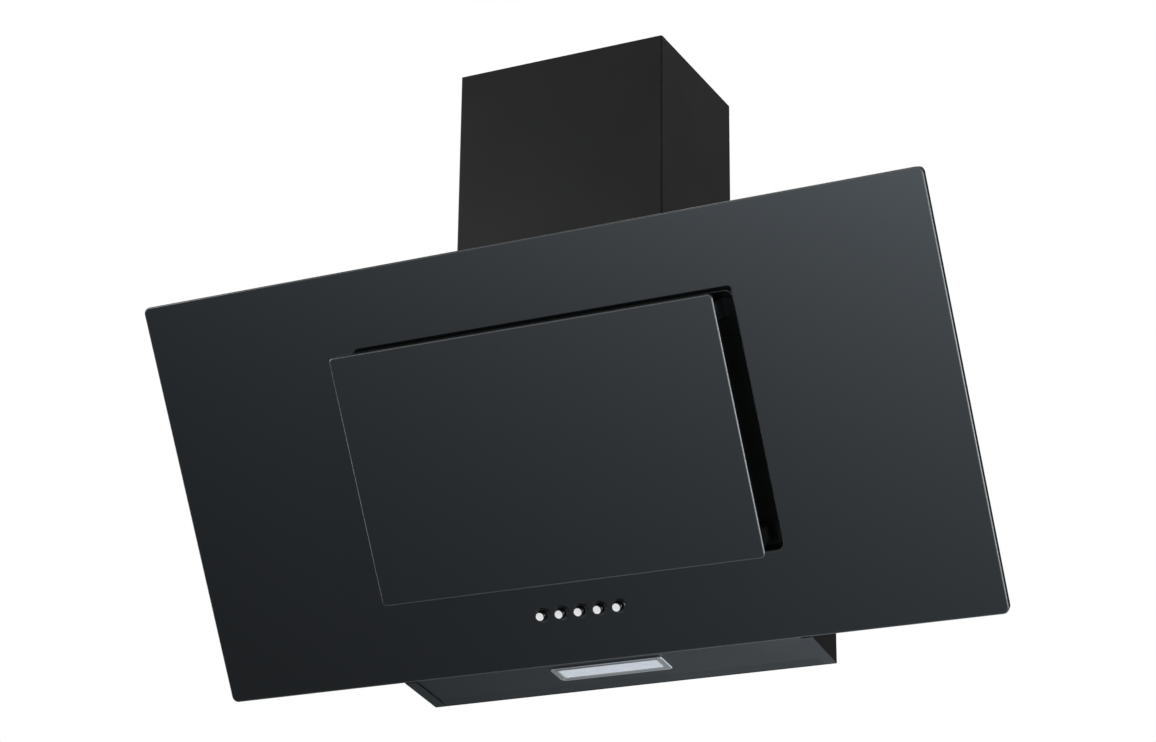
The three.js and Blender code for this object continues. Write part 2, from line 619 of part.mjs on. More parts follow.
const filterBack = -RECESS_DEPTH + RUNNING_GAP;
const filterFront = filterBack + FILTER_THICKNESS;
const LATCH_FOOT = FILTER_CENTRE - FILTER_LENGTH / 2;

function buildFilter() {
  // Channel frame: outer rim with a slot all round its inside, which holds the slotted plates.
  const skin = 1;
  const ring = (inset, z0, z1) => sheet(roundedRectangle(
    FILTER_WIDTH - 2 * inset, FILTER_LENGTH - 2 * inset, inset ? 1 : 3, 0, FILTER_CENTRE), z0, z1, 2);
  let frame = cut(ring(0, filterBack, filterFront), ring(FILTER_RIM, filterBack - 1, filterFront + 1));
  frame = cut(frame, cut(
    ring(skin, filterBack + skin, filterFront - skin),
    ring(FILTER_RIM + 1, filterBack, filterFront)).intersect(
    ring(skin, filterBack + skin, filterFront - skin)));
  // The latch runs in a pocket in the lower rim.
  const pocket = block(
    -LATCH_WIDTH / 2 - RUNNING_GAP, LATCH_WIDTH / 2 + RUNNING_GAP,
    LATCH_FOOT - 1, LATCH_FOOT + LATCH_LENGTH + LATCH_TRAVEL + 1,
    filterBack + 2 * skin, filterFront + 1);
  frame = cut(frame, pocket);
  piece('filter_frame', frame, aluminium, slope);

  // Corrugated sheet in the channel, with rows of slots in its slopes.
  const inset = skin + RUNNING_GAP;
  const [z0, z1] = [filterBack + skin + RUNNING_GAP, filterFront - skin - RUNNING_GAP];
  const [width, length] = [FILTER_WIDTH - 2 * inset, FILTER_LENGTH - 2 * inset];
  const foot = FILTER_CENTRE - length / 2;
  const fold = (k) => new THREE.Vector2(foot + (k / FILTER_FOLDS) * length, k % 2 ? z1 - MESH_SHEET : z0);
  const folds = Array.from({ length: FILTER_FOLDS + 1 }, (_, k) => fold(k));
  const over = folds.map((p) => new THREE.Vector2(p.x, p.y + MESH_SHEET)).reverse();
  const profile = new THREE.ExtrudeGeometry(new THREE.Shape([...folds, ...over]), {
    depth: width, bevelEnabled: false });
  profile.applyMatrix4(new THREE.Matrix4().makeBasis(
    new THREE.Vector3(0, 1, 0), new THREE.Vector3(0, 0, 1), new THREE.Vector3(1, 0, 0)));
  profile.translate(-width / 2, 0, 0);
  const field = width - 2 * FILTER_RIM;
  const slotLength = field / SLOT_COLUMNS - SLOT_BRIDGE;
  const pocketTop = LATCH_FOOT + LATCH_LENGTH + LATCH_TRAVEL + 1 + RUNNING_GAP;
  const slots = [];
  for (let k = 0; k < FILTER_FOLDS; k += 1) {
    const y = (fold(k).x + fold(k + 1).x) / 2;
    for (let column = 0; column < SLOT_COLUMNS; column += 1) {
      const x = ((column + 0.5) / SLOT_COLUMNS - 0.5) * field;
      const beforeLatch = y < pocketTop + SLOT_WIDTH && Math.abs(x) < (LATCH_WIDTH + slotLength) / 2 + 3;
      if (!beforeLatch && Math.abs(y - FILTER_CENTRE) < FILTER_LENGTH / 2 - FILTER_RIM) {
        slots.push(block(x - slotLength / 2, x + slotLength / 2,
          y - SLOT_WIDTH / 2, y + SLOT_WIDTH / 2, z0 - 1, z1 + 1));
      }
    }
  }
  const clearPocket = block(
    -LATCH_WIDTH / 2 - 2 * RUNNING_GAP, LATCH_WIDTH / 2 + 2 * RUNNING_GAP,
    LATCH_FOOT - 1, pocketTop, filterBack, filterFront + 1);
  piece('filter_mesh', cut(solid(profile), clearPocket, ...slots), aluminium, slope);

  // Sliding latch with a finger lip; its tip presses on the lower wall of the recess.
  const panWall = OPENING_CENTRE - OPENING_LENGTH / 2 - RUNNING_GAP;
  const [l0, l1] = [filterBack + 2 * skin + RUNNING_GAP, filterFront];
  let latch = block(-LATCH_WIDTH / 2, LATCH_WIDTH / 2, LATCH_FOOT, LATCH_FOOT + LATCH_LENGTH, l0, l1);
  latch = join(latch,
    block(-LATCH_TIP_WIDTH / 2, LATCH_TIP_WIDTH / 2, panWall + RUNNING_GAP, LATCH_FOOT + 1, l0, l1 - 2),
    block(-LATCH_TIP_WIDTH, LATCH_TIP_WIDTH,
      LATCH_FOOT + LATCH_LENGTH - 3, LATCH_FOOT + LATCH_LENGTH, l1 - 1, l1 + LATCH_LIP_HEIGHT));
  piece('filter_latch', latch, blackPlastic, slope);
}

// ---------------------------------------------------------------- flap and its hinge

function buildFlap() {
  const pane = roundedRectangle(FLAP_WIDTH, FLAP_LENGTH, FLAP_CORNER, 0, FLAP_CENTRE);
  piece('flap_glass', glassSheet(pane, FLAP_STANDOFF), blackGlass, slope);

  const [z0, z1] = [FLAP_TRAY_BACK, FLAP_BACK - RUNNING_GAP];
  const [width, length] = [FLAP_WIDTH - 2 * FLAP_TRAY_INSET, FLAP_LENGTH - 2 * FLAP_TRAY_INSET];
  let tray = cut(
    sheet(roundedRectangle(width, length, 4, 0, FLAP_CENTRE), z0, z1, 3),
    sheet(roundedRectangle(width - 2 * SHEET, length - 2 * SHEET, 3, 0, FLAP_CENTRE), z0 + SHEET, z1 + 1, 3));
  const rib = (x) => block(x - 2, x + 2, FLAP_CENTRE - length / 2 + 20, FLAP_CENTRE + length / 2 - 20,
    z0 + SHEET / 2, z1);
  tray = join(tray, rib(-width / 4), rib(width / 4));
  piece('flap_tray', tray, blackPaint, slope);

  const pinZ = HINGE_HEIGHT;
  const earThickness = HINGE_EAR_THICKNESS;
  const bore = HINGE_PIN_DIAMETER + 2 * HINGE_CLEARANCE;
  const earX = FLAP_WIDTH / 2 - HINGE_FROM_SIDE;            // between the two ears
  for (const [side, sign] of [['left', -1], ['right', 1]]) {
    const across = (x0, x1) => (sign > 0 ? [x0, x1] : [-x1, -x0]);
    const turnedRod = (diameter, x0, x1, sides = 12) => {
      const geometry = new THREE.CylinderGeometry(diameter / 2, diameter / 2, x1 - x0, sides);
      geometry.rotateZ(Math.PI / 2);
      geometry.translate((x0 + x1) / 2, HINGE_SLOPE, pinZ);
      return solid(geometry);
    };

    // Arm on the flap: a foot under the tray and an ear round the pin, on the inner side.
    const [a0, a1] = across(earX - earThickness - RUNNING_GAP / 2, earX - RUNNING_GAP / 2);
    const footTop = FLAP_TRAY_BACK - RUNNING_GAP;
    const footBottom = footTop - earThickness / 2;
    const [f0, f1] = across(earX - HINGE_FOOT_WIDTH, earX - RUNNING_GAP / 2);
    let arm = join(
      turnedRod(HINGE_EAR, a0, a1),
      block(a0, a1, HINGE_SLOPE - HINGE_ARM_REACH, HINGE_SLOPE, pinZ - 2, footTop),
      block(f0, f1, HINGE_SLOPE - HINGE_BELOW_TOP / 2 - HINGE_ARM_FOOT, HINGE_SLOPE - HINGE_BELOW_TOP / 2,
        footBottom, footTop));
    arm = cut(arm, turnedRod(bore, a0 - 1, a1 + 1));
    piece(`hinge_arm_${side}`, arm, blackPaint, slope);

    // Bracket on the recess floor, with its ear on the outer side, and the pin fixed in it.
    const [b0, b1] = across(earX + RUNNING_GAP, earX + RUNNING_GAP + earThickness);
    const foot = -RECESS_DEPTH + RUNNING_GAP;
    const [g0, g1] = across(earX - HINGE_FOOT_WIDTH * 0.3, earX + HINGE_FOOT_WIDTH * 0.7);
    const footHigh = HINGE_SLOPE + HINGE_EAR / 2;
    const footLow = footHigh - BRACKET_FOOT_LENGTH;
    let bracket = join(
      turnedRod(HINGE_EAR, b0, b1),
      block(b0, b1, footLow, footHigh, foot, pinZ - 2),
      block(b0, b1, HINGE_SLOPE - HINGE_EAR / 2, footHigh, foot, pinZ),
      block(g0, g1, footLow, footHigh, foot, foot + earThickness));
    bracket = cut(bracket, turnedRod(HINGE_PIN_DIAMETER + 2 * RUNNING_GAP, b0 - 1, b1 + 1));
    piece(`hinge_bracket_${side}`, bracket, blackPaint, slope);

    const pinEnd = earX + earThickness + HINGE_PIN_END;
    const [p0, p1] = across(earX - earThickness - HINGE_PIN_END, pinEnd);
    const [h0, h1] = across(earX + RUNNING_GAP * 2 + earThickness, pinEnd);
    piece(`hinge_pin_${side}`, join(
      turnedRod(HINGE_PIN_DIAMETER, p0, p1), turnedRod(HINGE_PIN_HEAD, h0, h1)), zincSteel, slope);

    // Magnet on a post of the recess, and the steel plate that it holds on the flap.
    const catchX = sign * (FLAP_WIDTH / 2 - HINGE_FROM_SIDE);
    const catchY = FLAP_FOOT + CATCH_RISE;
    const plateTop = FLAP_TRAY_BACK - RUNNING_GAP;
    const atCatch = (grow, z0, z1) => sheet(roundedRectangle(
      CATCH_WIDTH + 2 * grow, CATCH_LENGTH + 2 * grow, 2, catchX, catchY), z0, z1, 2);
    const magnetTop = plateTop - CATCH_PLATE_THICKNESS - RUNNING_GAP;
    const seat = magnetTop - MAGNET_THICKNESS - RUNNING_GAP;
    piece(`catch_plate_${side}`, atCatch(
      CATCH_RIM - 1, plateTop - CATCH_PLATE_THICKNESS, plateTop), zincSteel, slope);
    piece(`catch_post_${side}`, join(
      atCatch(CATCH_RIM, foot, foot + earThickness), atCatch(0, foot, seat)), blackPlastic, slope);
    piece(`catch_magnet_${side}`, atCatch(0, magnetTop - MAGNET_THICKNESS, magnetTop), magnetBlack, slope);
  }
}

// ---------------------------------------------------------------- buttons

function buildButtons() {
  const tubeBore = BUTTON_DIAMETER + 2 * BUTTON_CLEARANCE;
  const glassBack = -GLASS_THICKNESS;
  const housingTop = -BODY_FRONT;
  const stemEnd = housingTop - STEM_DEPTH;
  const stem = BUTTON_DIAMETER - 0.8;
  const row = (BUTTON_COUNT - 1) * BUTTON_PITCH + SWITCH_WIDTH;
  let housing = join(
    sheet(roundedRectangle(
      row + 2 * SWITCH_FLANGE_END, SWITCH_WIDTH + 2 * SWITCH_FLANGE, 3, BUTTON_ROW_CENTRE, BUTTON_ROW_RISE),
    housingTop - SWITCH_FLANGE_THICKNESS, housingTop),
    sheet(roundedRectangle(
      row, SWITCH_WIDTH, 3, BUTTON_ROW_CENTRE, BUTTON_ROW_RISE), housingTop - SWITCH_DEPTH, housingTop));
  for (let i = 0; i < BUTTON_COUNT; i += 1) {
    const x = buttonX(i);
    const at = (made) => made.translate([x, BUTTON_ROW_RISE, 0]);
    housing = cut(housing, rod(
      tubeBore, housingTop - SWITCH_BORE_DEPTH, housingTop + 1, x, BUTTON_ROW_RISE, 12));

    // Bezel: a rounded flange on the glass and a tube through it.
    const outer = BEZEL_DIAMETER / 2;
    piece(`button_bezel_${i + 1}`, at(turned([
      [tubeBore / 2, glassBack - 4], [BEZEL_TUBE / 2, glassBack - 4], [BEZEL_TUBE / 2, RUNNING_GAP],
      [outer, RUNNING_GAP], [outer, BEZEL_PROUD * 0.5], [outer - 0.9, BEZEL_PROUD],
      [tubeBore / 2, BEZEL_PROUD * 0.6], [tubeBore / 2, glassBack - 4],
    ], 12)), blackPlastic, slope);

    // Button: stem, shoulder and a slightly domed cap.
    const cap = BUTTON_DIAMETER / 2;
    piece(`push_button_${i + 1}`, at(turned([
      [0, stemEnd], [stem / 2, stemEnd], [stem / 2, BUTTON_PROUD - 3.2], [cap, BUTTON_PROUD - 3.0],
      [cap, BUTTON_PROUD - 0.7], [cap - 0.6, BUTTON_PROUD - 0.2], [0, BUTTON_PROUD],
    ], 12)), chrome, slope);
  }
  piece('switch_housing', housing, greyPlastic, slope);
}

// ---------------------------------------------------------------- lamp

function buildLamp() {
  const y = -LAMP_FROM_WALL;
  const panelUnder = SHEET + RUNNING_GAP;                   // lower face of the bottom panel
  const panelOver = panelUnder + SHEET;
  const face = panelUnder - RUNNING_GAP - 1.5;
  const collarWall = SHEET;
  const [collarLength, collarWidth] = [
    LAMP_LENGTH - 2 * (LAMP_LIP + RUNNING_GAP), LAMP_WIDTH - 2 * (LAMP_LIP + RUNNING_GAP)];
  const collarTop = panelOver + LAMP_COLLAR_HEIGHT;
  const bore = [collarLength - 2 * collarWall, collarWidth - 2 * collarWall];
  let bezel = join(
    sheet(roundedRectangle(LAMP_LENGTH, LAMP_WIDTH, LAMP_CORNER, 0, y), face, panelUnder - RUNNING_GAP),
    sheet(roundedRectangle(collarLength, collarWidth, LAMP_CORNER - 2, 0, y), face, collarTop));
  bezel = cut(bezel,
    sheet(roundedRectangle(LENS_LENGTH, LENS_WIDTH, 2, 0, y), face - 1, face + 1.2),
    sheet(roundedRectangle(...bore, 2, 0, y), face + 1, collarTop + 1));
  piece('lamp_bezel', bezel, zincSteel, underside);

  const seat = face + 1 + RUNNING_GAP;
  const [lensLength, lensWidth] = bore.map((size) => size - 2 * RUNNING_GAP);
  piece('lamp_lens', sheet(
    roundedRectangle(lensLength, lensWidth, 1.6, 0, y), seat, seat + LENS_THICKNESS), diffuser, underside);

  // Housing over the collar, closed at the top, with the board of light diodes under its roof.
  const base = panelOver + RUNNING_GAP;
  const roof = base + LAMP_HOUSING_HEIGHT;
  const [wide, deep] = [
    LAMP_LENGTH - 2 * LAMP_LIP + 2 * SHEET + 1, LAMP_WIDTH - 2 * LAMP_LIP + 2 * SHEET + 1];
  let housing = join(
    sheet(roundedRectangle(wide, deep, 3, 0, y), base, roof, 3),
    block(-wide / 2 - LAMP_EAR, wide / 2 + LAMP_EAR, y - deep / 2, y + deep / 2, base, base + SHEET));
  housing = cut(housing, sheet(roundedRectangle(
    wide - 2 * SHEET, deep - 2 * SHEET, 2, 0, y), base - 1, roof - SHEET, 3));
  housing = cut(housing, rod(5, roof - SHEET - 1, roof + 1, wide / 2 - 12, y, 16));
  piece('lamp_housing', housing, zincSteel, underside);
  const boardTop = roof - SHEET - RUNNING_GAP;
  let board = sheet(roundedRectangle(
    wide - 2 * SHEET - 1, deep - 2 * SHEET - 1, 1.5, 0, y), boardTop - BOARD_THICKNESS, boardTop);
  for (let i = 0; i < DIODE_COUNT; i += 1) {
    const x = ((i + 0.5) / DIODE_COUNT - 0.5) * LENS_LENGTH;
    const half = DIODE_SIDE / 2;
    board = join(board, block(x - half, x + half, y - half, y + half,
      boardTop - BOARD_THICKNESS - 1.1, boardTop - 1));
  }
  piece('lamp_board', board, diffuser, underside);
}

// ---------------------------------------------------------------- fan

/** Casing radius of the scroll at an angle in degrees, from the tongue to the outlet. */
function scrollRadius(angle) {
  const share = (angle - TONGUE_ANGLE) / (360 - TONGUE_ANGLE);
  return SCROLL_START + (SCROLL_END - SCROLL_START) * share;
}

/** Outline of the scroll with its upright outlet, grown outward by `grow`. */
function scrollOutline(grow, top) {
  const steps = 24;
  const points = [];
  for (let i = 0; i <= steps; i += 1) {
    const angle = TONGUE_ANGLE + (360 - TONGUE_ANGLE) * (i / steps);
    const radius = scrollRadius(angle) + grow;
    points.push(new THREE.Vector2(
      FAN_AXIS_X + radius * Math.cos(rad(angle)), FAN_AXIS_HEIGHT + radius * Math.sin(rad(angle))));
  }
  const right = FAN_AXIS_X + SCROLL_END + grow;
  const left = FAN_AXIS_X + SCROLL_START * Math.cos(rad(TONGUE_ANGLE)) - grow;
  points.push(new THREE.Vector2(right, top), new THREE.Vector2(left, top));
  // On the grown outline the outlet wall meets the spiral where it is already this far round.
  return new THREE.Shape(points.filter((p) => !(p.x > left + 0.01 && p.y > FAN_AXIS_HEIGHT + 1
    && p.y < top - 1 && p.x < right - 1)));
}

function buildFan() {
  const roof = BODY_TOP - SHEET - RUNNING_GAP;
  const back = SCROLL_BACK_FROM_WALL;
  const front = SCROLL_FRONT - SCROLL_WALL - RUNNING_GAP;
  let casing = cut(
    sheet(scrollOutline(SCROLL_WALL, roof), back, front),
    sheet(scrollOutline(0, roof + 1), back + SCROLL_WALL, front + 1));
  // Outlet flange under the roof, on the free sides, and four bosses against the back wall.
  const outlet = outletRectangle();
  const lip = CASE_LIP;
  casing = join(casing, cut(
    block(outlet.left - SCROLL_WALL - lip, outlet.right + SCROLL_WALL + lip, roof - 2, roof, back, front),
    block(outlet.left, outlet.right, roof - 3, roof + 1, back + SCROLL_WALL, front + 1)));
  const bossReach = 88;
  for (const [sx, sy] of [[-1, -1], [1, -1], [-1, 1]]) {
    casing = join(casing, rod(14, SHEET + RUNNING_GAP, back + 0.5,
      FAN_AXIS_X + sx * bossReach * 0.9, FAN_AXIS_HEIGHT + sy * bossReach * 0.6, 10));
  }
  // Ears round the rim, to which the cover is screwed.
  for (const angle of CASE_EAR_ANGLES) {
    const radius = scrollRadius(angle) + SCROLL_WALL + 3;
    casing = join(casing, rod(CASE_EAR, front - 22, front,
      FAN_AXIS_X + radius * Math.cos(rad(angle)), FAN_AXIS_HEIGHT + radius * Math.sin(rad(angle)), 8));
  }
  casing = cut(casing, sheet(scrollOutline(0, roof + 1), back + SCROLL_WALL, front + 1));
  piece('scroll_case', casing, greyPlastic, wall);

  // Cover with a rolled inlet mouth.
  const coverBack = SCROLL_FRONT - SCROLL_WALL;
  const mouthRadius = WHEEL_EYE / 2 - INLET_CLEARANCE;
  const roll = INLET_ROLL;
  let cover = cut(
    sheet(scrollOutline(SCROLL_WALL, roof), coverBack, SCROLL_FRONT),
    rod(2 * (mouthRadius + roll - 1), coverBack - 1, SCROLL_FRONT + 1, FAN_AXIS_X, FAN_AXIS_HEIGHT, 24));
  const mouth = [];
  const arc = 3;
  for (let i = 0; i <= arc; i += 1) {
    const angle = (Math.PI / 2) * (i / arc);
    mouth.push([
      mouthRadius + roll * (1 - Math.sin(angle)), SCROLL_FRONT - roll + roll * (1 - Math.cos(angle))]);
  }
  const lipProfile = mouth.map(([r, z]) => [r, 2 * SCROLL_FRONT - roll - z]);
  const inner = lipProfile.map(([r, z]) => [r + SCROLL_WALL * 0.7, z - SCROLL_WALL * 0.7]);
  cover = join(cover, turned([...lipProfile, ...inner.reverse(), lipProfile[0]], 24)
    .translate([FAN_AXIS_X, FAN_AXIS_HEIGHT, 0]));
  for (const angle of CASE_EAR_ANGLES) {
    const radius = scrollRadius(angle) + SCROLL_WALL + 3;
    cover = join(cover, rod(CASE_EAR, coverBack, SCROLL_FRONT,
      FAN_AXIS_X + radius * Math.cos(rad(angle)), FAN_AXIS_HEIGHT + radius * Math.sin(rad(angle)), 8));
  }
  piece('scroll_cover', cover, greyPlastic, wall);

  // Motor on the back of the casing, inside the blade ring.
  const fan = new THREE.Group();
  fan.position.set(FAN_AXIS_X, FAN_AXIS_HEIGHT, 0);
  wall.add(fan);
  const motorBack = back + SCROLL_WALL + RUNNING_GAP;
  const motorFront = motorBack + MOTOR_LENGTH;
  const r = MOTOR_DIAMETER / 2;
  let motor = turned([
    [0, motorBack], [r + MOTOR_FLANGE, motorBack], [r + MOTOR_FLANGE, motorBack + 3], [r, motorBack + 3],
    [r, motorFront - 10], [r - 5, motorFront - 6], [r - 9, motorFront - 5],
    [14, motorFront - 5], [14, motorFront - 1], [12, motorFront], [0, motorFront],
  ], 20);
  const vents = 6;
  for (let i = 0; i < vents; i += 1) {
    const vent = block(r - 19, r - 12, -3, 3, motorFront - 9, motorFront + 1);
    motor = cut(motor, vent.rotate([0, 0, (360 / vents) * i]));
  }
  motor = cut(motor, rod(SHAFT_DIAMETER + 2 * RUNNING_GAP, motorFront - 20, motorFront + 1));
  piece('motor', motor, zincSteel, fan);

  // Fan wheel: blades between two rings, carried by a disc with a hub on the motor's shaft.
  const wheelBack = back + SCROLL_WALL + WHEEL_CLEARANCE;
  const wheelFront = wheelBack + WHEEL_WIDTH;
  const [eye, rim] = [WHEEL_EYE / 2, WHEEL_DIAMETER / 2];
  const disc = motorFront + DISC_CLEARANCE;
  const ringAt = (z0, z1) => turned([
    [eye - 1, z0], [rim, z0], [rim, z1], [eye - 1, z1], [eye - 1, z0]], WHEEL_FACETS);
  const hubBore = SHAFT_DIAMETER / 2 + RUNNING_GAP;
  const discFront = disc + DISC_THICKNESS;
  const hubFront = disc + HUB_LENGTH;
  const hubRadius = HUB_DIAMETER / 2;
  const hub = turned([
    [hubBore, disc], [eye + 1, disc], [eye + 1, discFront], [hubRadius, discFront],
    [hubRadius - 2, hubFront], [hubBore, hubFront], [hubBore, disc],
  ], WHEEL_FACETS / 2);
  const blades = [];
  for (let i = 0; i < BLADE_COUNT; i += 1) {
    blades.push(blade(eye, rim - 0.5, wheelBack + 1, wheelFront - 1).rotate([0, 0, (360 / BLADE_COUNT) * i]));
  }
  piece('impeller', join(
    ringAt(wheelBack, wheelBack + RING_WIDTH), ringAt(wheelFront - RING_WIDTH, wheelFront),
    hub, ...blades), greyPlastic, fan);
  const nutBack = hubFront + RUNNING_GAP;
  const shaftEnd = nutBack + NUT_HEIGHT + SHAFT_END;
  piece('motor_shaft', rod(SHAFT_DIAMETER, motorFront - SHAFT_BURIED, shaftEnd), zincSteel, fan);
  piece('impeller_nut', cut(
    rod(NUT_WIDTH, nutBack, nutBack + NUT_HEIGHT, 0, 0, 6),
    rod(SHAFT_DIAMETER + 2 * RUNNING_GAP, nutBack - 1, shaftEnd + 1)), zincSteel, fan);
}

/** One forward-curved blade, from the eye to the rim, along the axis from z0 to z1. */
function blade(eye, rim, z0, z1) {
  const steps = 3;
  const root = new THREE.Vector2(eye, 0);
  const tip = new THREE.Vector2(rim * Math.cos(rad(BLADE_SWEEP)), rim * Math.sin(rad(BLADE_SWEEP)));
  const along = tip.clone().sub(root);
  const across = new THREE.Vector2(along.y, -along.x).normalize();
  const line = (offset) => Array.from({ length: steps + 1 }, (_, i) => {
    const t = i / steps;
    return root.clone().addScaledVector(along, t)
      .addScaledVector(across, BLADE_BOW * 4 * t * (1 - t) + offset);
  });
  const shape = new THREE.Shape([...line(BLADE_THICKNESS / 2), ...line(-BLADE_THICKNESS / 2).reverse()]);
  return sheet(shape, z0, z1);
}

// ---------------------------------------------------------------- outlet adapter and dampers

const DUCT_CENTRE = CHIMNEY_DEPTH / 2;                      // from the wall
const ADAPTER_BASE = BODY_TOP + RUNNING_GAP;
const SPIGOT_BASE = ADAPTER_BASE + ADAPTER_HEIGHT;
const DAMPER_AXIS = SPIGOT_BASE + DAMPER_RISE;

function buildOutlet() {
  const outlet = outletRectangle();
  const cx = (outlet.left + outlet.right) / 2;
  const cz = (outlet.back + outlet.front) / 2;
  const around = 24;
  // A ring between the outlet's rectangle (share 0) and the duct's circle (share 1).
  const ring = (share, height, grow) => Array.from({ length: around }, (_, i) => {
    const angle = -Math.PI * 2 * ((i + 0.5) / around);
    const [c, s] = [Math.cos(angle), Math.sin(angle)];
    const halfX = (outlet.right - outlet.left) / 2 + grow;
    const halfZ = (outlet.front - outlet.back) / 2 + grow;
    const k = Math.min(halfX / Math.abs(c), halfZ / Math.abs(s));
    const rect = [cx + c * k, cz + s * k];
    const radius = DUCT_DIAMETER / 2 - DUCT_WALL + grow;
    const circle = [c * radius, DUCT_CENTRE + s * radius];
    const blend = share * share * (3 - 2 * share);
    return new THREE.Vector3(
      rect[0] + (circle[0] - rect[0]) * blend, height, rect[1] + (circle[1] - rect[1]) * blend);
  });
  const levels = 3;
  const rings = (grow, under, over) => {
    const list = [ring(0, ADAPTER_BASE - under, grow)];
    for (let k = under > 0 ? 0 : 1; k <= levels; k += 1) {
      list.push(ring(k / levels, ADAPTER_BASE + ADAPTER_HEIGHT * (k / levels), grow));
    }
    list.push(ring(1, SPIGOT_BASE + SPIGOT_HEIGHT + over, grow));
    return list;
  };
  let adapter = join(
    loft(rings(DUCT_WALL, 0, 0)),
    block(outlet.left - ADAPTER_FLANGE, outlet.right + ADAPTER_FLANGE, ADAPTER_BASE, ADAPTER_BASE + DUCT_WALL,
      SHEET + RUNNING_GAP, outlet.front + ADAPTER_FLANGE));
  // Bead round the spigot, on which the duct's clip holds.
  const bead = new THREE.TorusGeometry(DUCT_DIAMETER / 2 - 0.4, BEAD_HEIGHT, 4, around);
  bead.rotateX(Math.PI / 2);
  bead.translate(0, SPIGOT_BASE + SPIGOT_HEIGHT - BEAD_BELOW_TOP, DUCT_CENTRE);
  adapter = join(adapter, solid(bead));
  adapter = cut(adapter, loft(rings(0, 1, 1)));
  const axle = (diameter, z0, z1, sides = 12) => {
    const geometry = new THREE.CylinderGeometry(diameter / 2, diameter / 2, z1 - z0, sides);
    geometry.rotateX(Math.PI / 2);
    geometry.translate(0, DAMPER_AXIS, (z0 + z1) / 2);
    return solid(geometry);
  };
  const [pinBack, pinFront] = [DUCT_CENTRE - DUCT_DIAMETER / 2 - 1.5, DUCT_CENTRE + DUCT_DIAMETER / 2 + 1.5];
  adapter = cut(adapter, axle(DAMPER_PIN_DIAMETER + 2 * RUNNING_GAP, pinBack - 5, pinFront + 5));
  piece('outlet_adapter', adapter, greyPlastic, wall);
  piece('damper_pin', axle(DAMPER_PIN_DIAMETER, pinBack, pinFront), zincSteel, wall);

  // Half discs with knuckles round the pin; the knuckles of the two flaps alternate.
  const knuckle = KNUCKLE_DIAMETER;
  const half = KNUCKLE_LENGTH / 2;
  const bore = DAMPER_PIN_DIAMETER + 0.7;
  const radius = DUCT_DIAMETER / 2 - DUCT_WALL - DAMPER_CLEARANCE;
  const edge = knuckle / 2 + 1;
  const stations = [-2, -1, 0, 1, 2].map((k) => k * KNUCKLE_PITCH);
  for (const [side, sign] of [['left', -1], ['right', 1]]) {
    const disc = new THREE.Shape();
    const limit = Math.acos(edge / radius);
    disc.absarc(0, 0, radius, -limit, limit);
    disc.closePath();
    const geometry = new THREE.ExtrudeGeometry(disc, {
      depth: DAMPER_THICKNESS, bevelEnabled: false, curveSegments: 9 });
    geometry.rotateX(Math.PI / 2);
    geometry.translate(0, DAMPER_AXIS, DUCT_CENTRE);
    let flap = solid(geometry);
    if (sign < 0) flap = flap.rotate([0, 180, 0]).translate([0, 0, 2 * DUCT_CENTRE]);
    stations.forEach((station, i) => {
      if (i % 2 === (sign > 0 ? 0 : 1)) {
        const z = DUCT_CENTRE + station;
        const [x0, x1] = sign > 0 ? [0, edge + 2] : [-edge - 2, 0];
        flap = join(flap, axle(knuckle, z - half, z + half, 10),
          block(x0, x1, DAMPER_AXIS - DAMPER_THICKNESS, DAMPER_AXIS, z - half, z + half));
      }
    });
    flap = cut(flap, axle(bore, DUCT_CENTRE - radius, DUCT_CENTRE + radius, 10));
    piece(`damper_flap_${side}`, flap, greyPlastic, wall);
  }
}

// ---------------------------------------------------------------- chimney covers

/** Folded cover: front, two sides and a return along the wall, between two heights. */
function cover(width, depth, y0, y1, fromWall) {
  const [a, b] = [width / 2, SHEET];
  const outline = new THREE.Shape();
  const points = [
    [-a, fromWall], [-a + CHIMNEY_RETURN, fromWall], [-a + CHIMNEY_RETURN, fromWall + b],
    [-a + b, fromWall + b], [-a + b, depth - b], [a - b, depth - b], [a - b, fromWall + b],
    [a - CHIMNEY_RETURN, fromWall + b], [a - CHIMNEY_RETURN, fromWall], [a, fromWall],
    [a, depth], [-a, depth],
  ];
  points.forEach(([x, out], i) => (i ? outline.lineTo(x, out) : outline.moveTo(x, out)));
  outline.closePath();
  const geometry = new THREE.ExtrudeGeometry(outline, { depth: y1 - y0, bevelEnabled: false });
  geometry.rotateX(-Math.PI / 2);
  geometry.scale(1, 1, -1);
  geometry.translate(0, y0, 0);
  return solid(flipped(geometry));
}

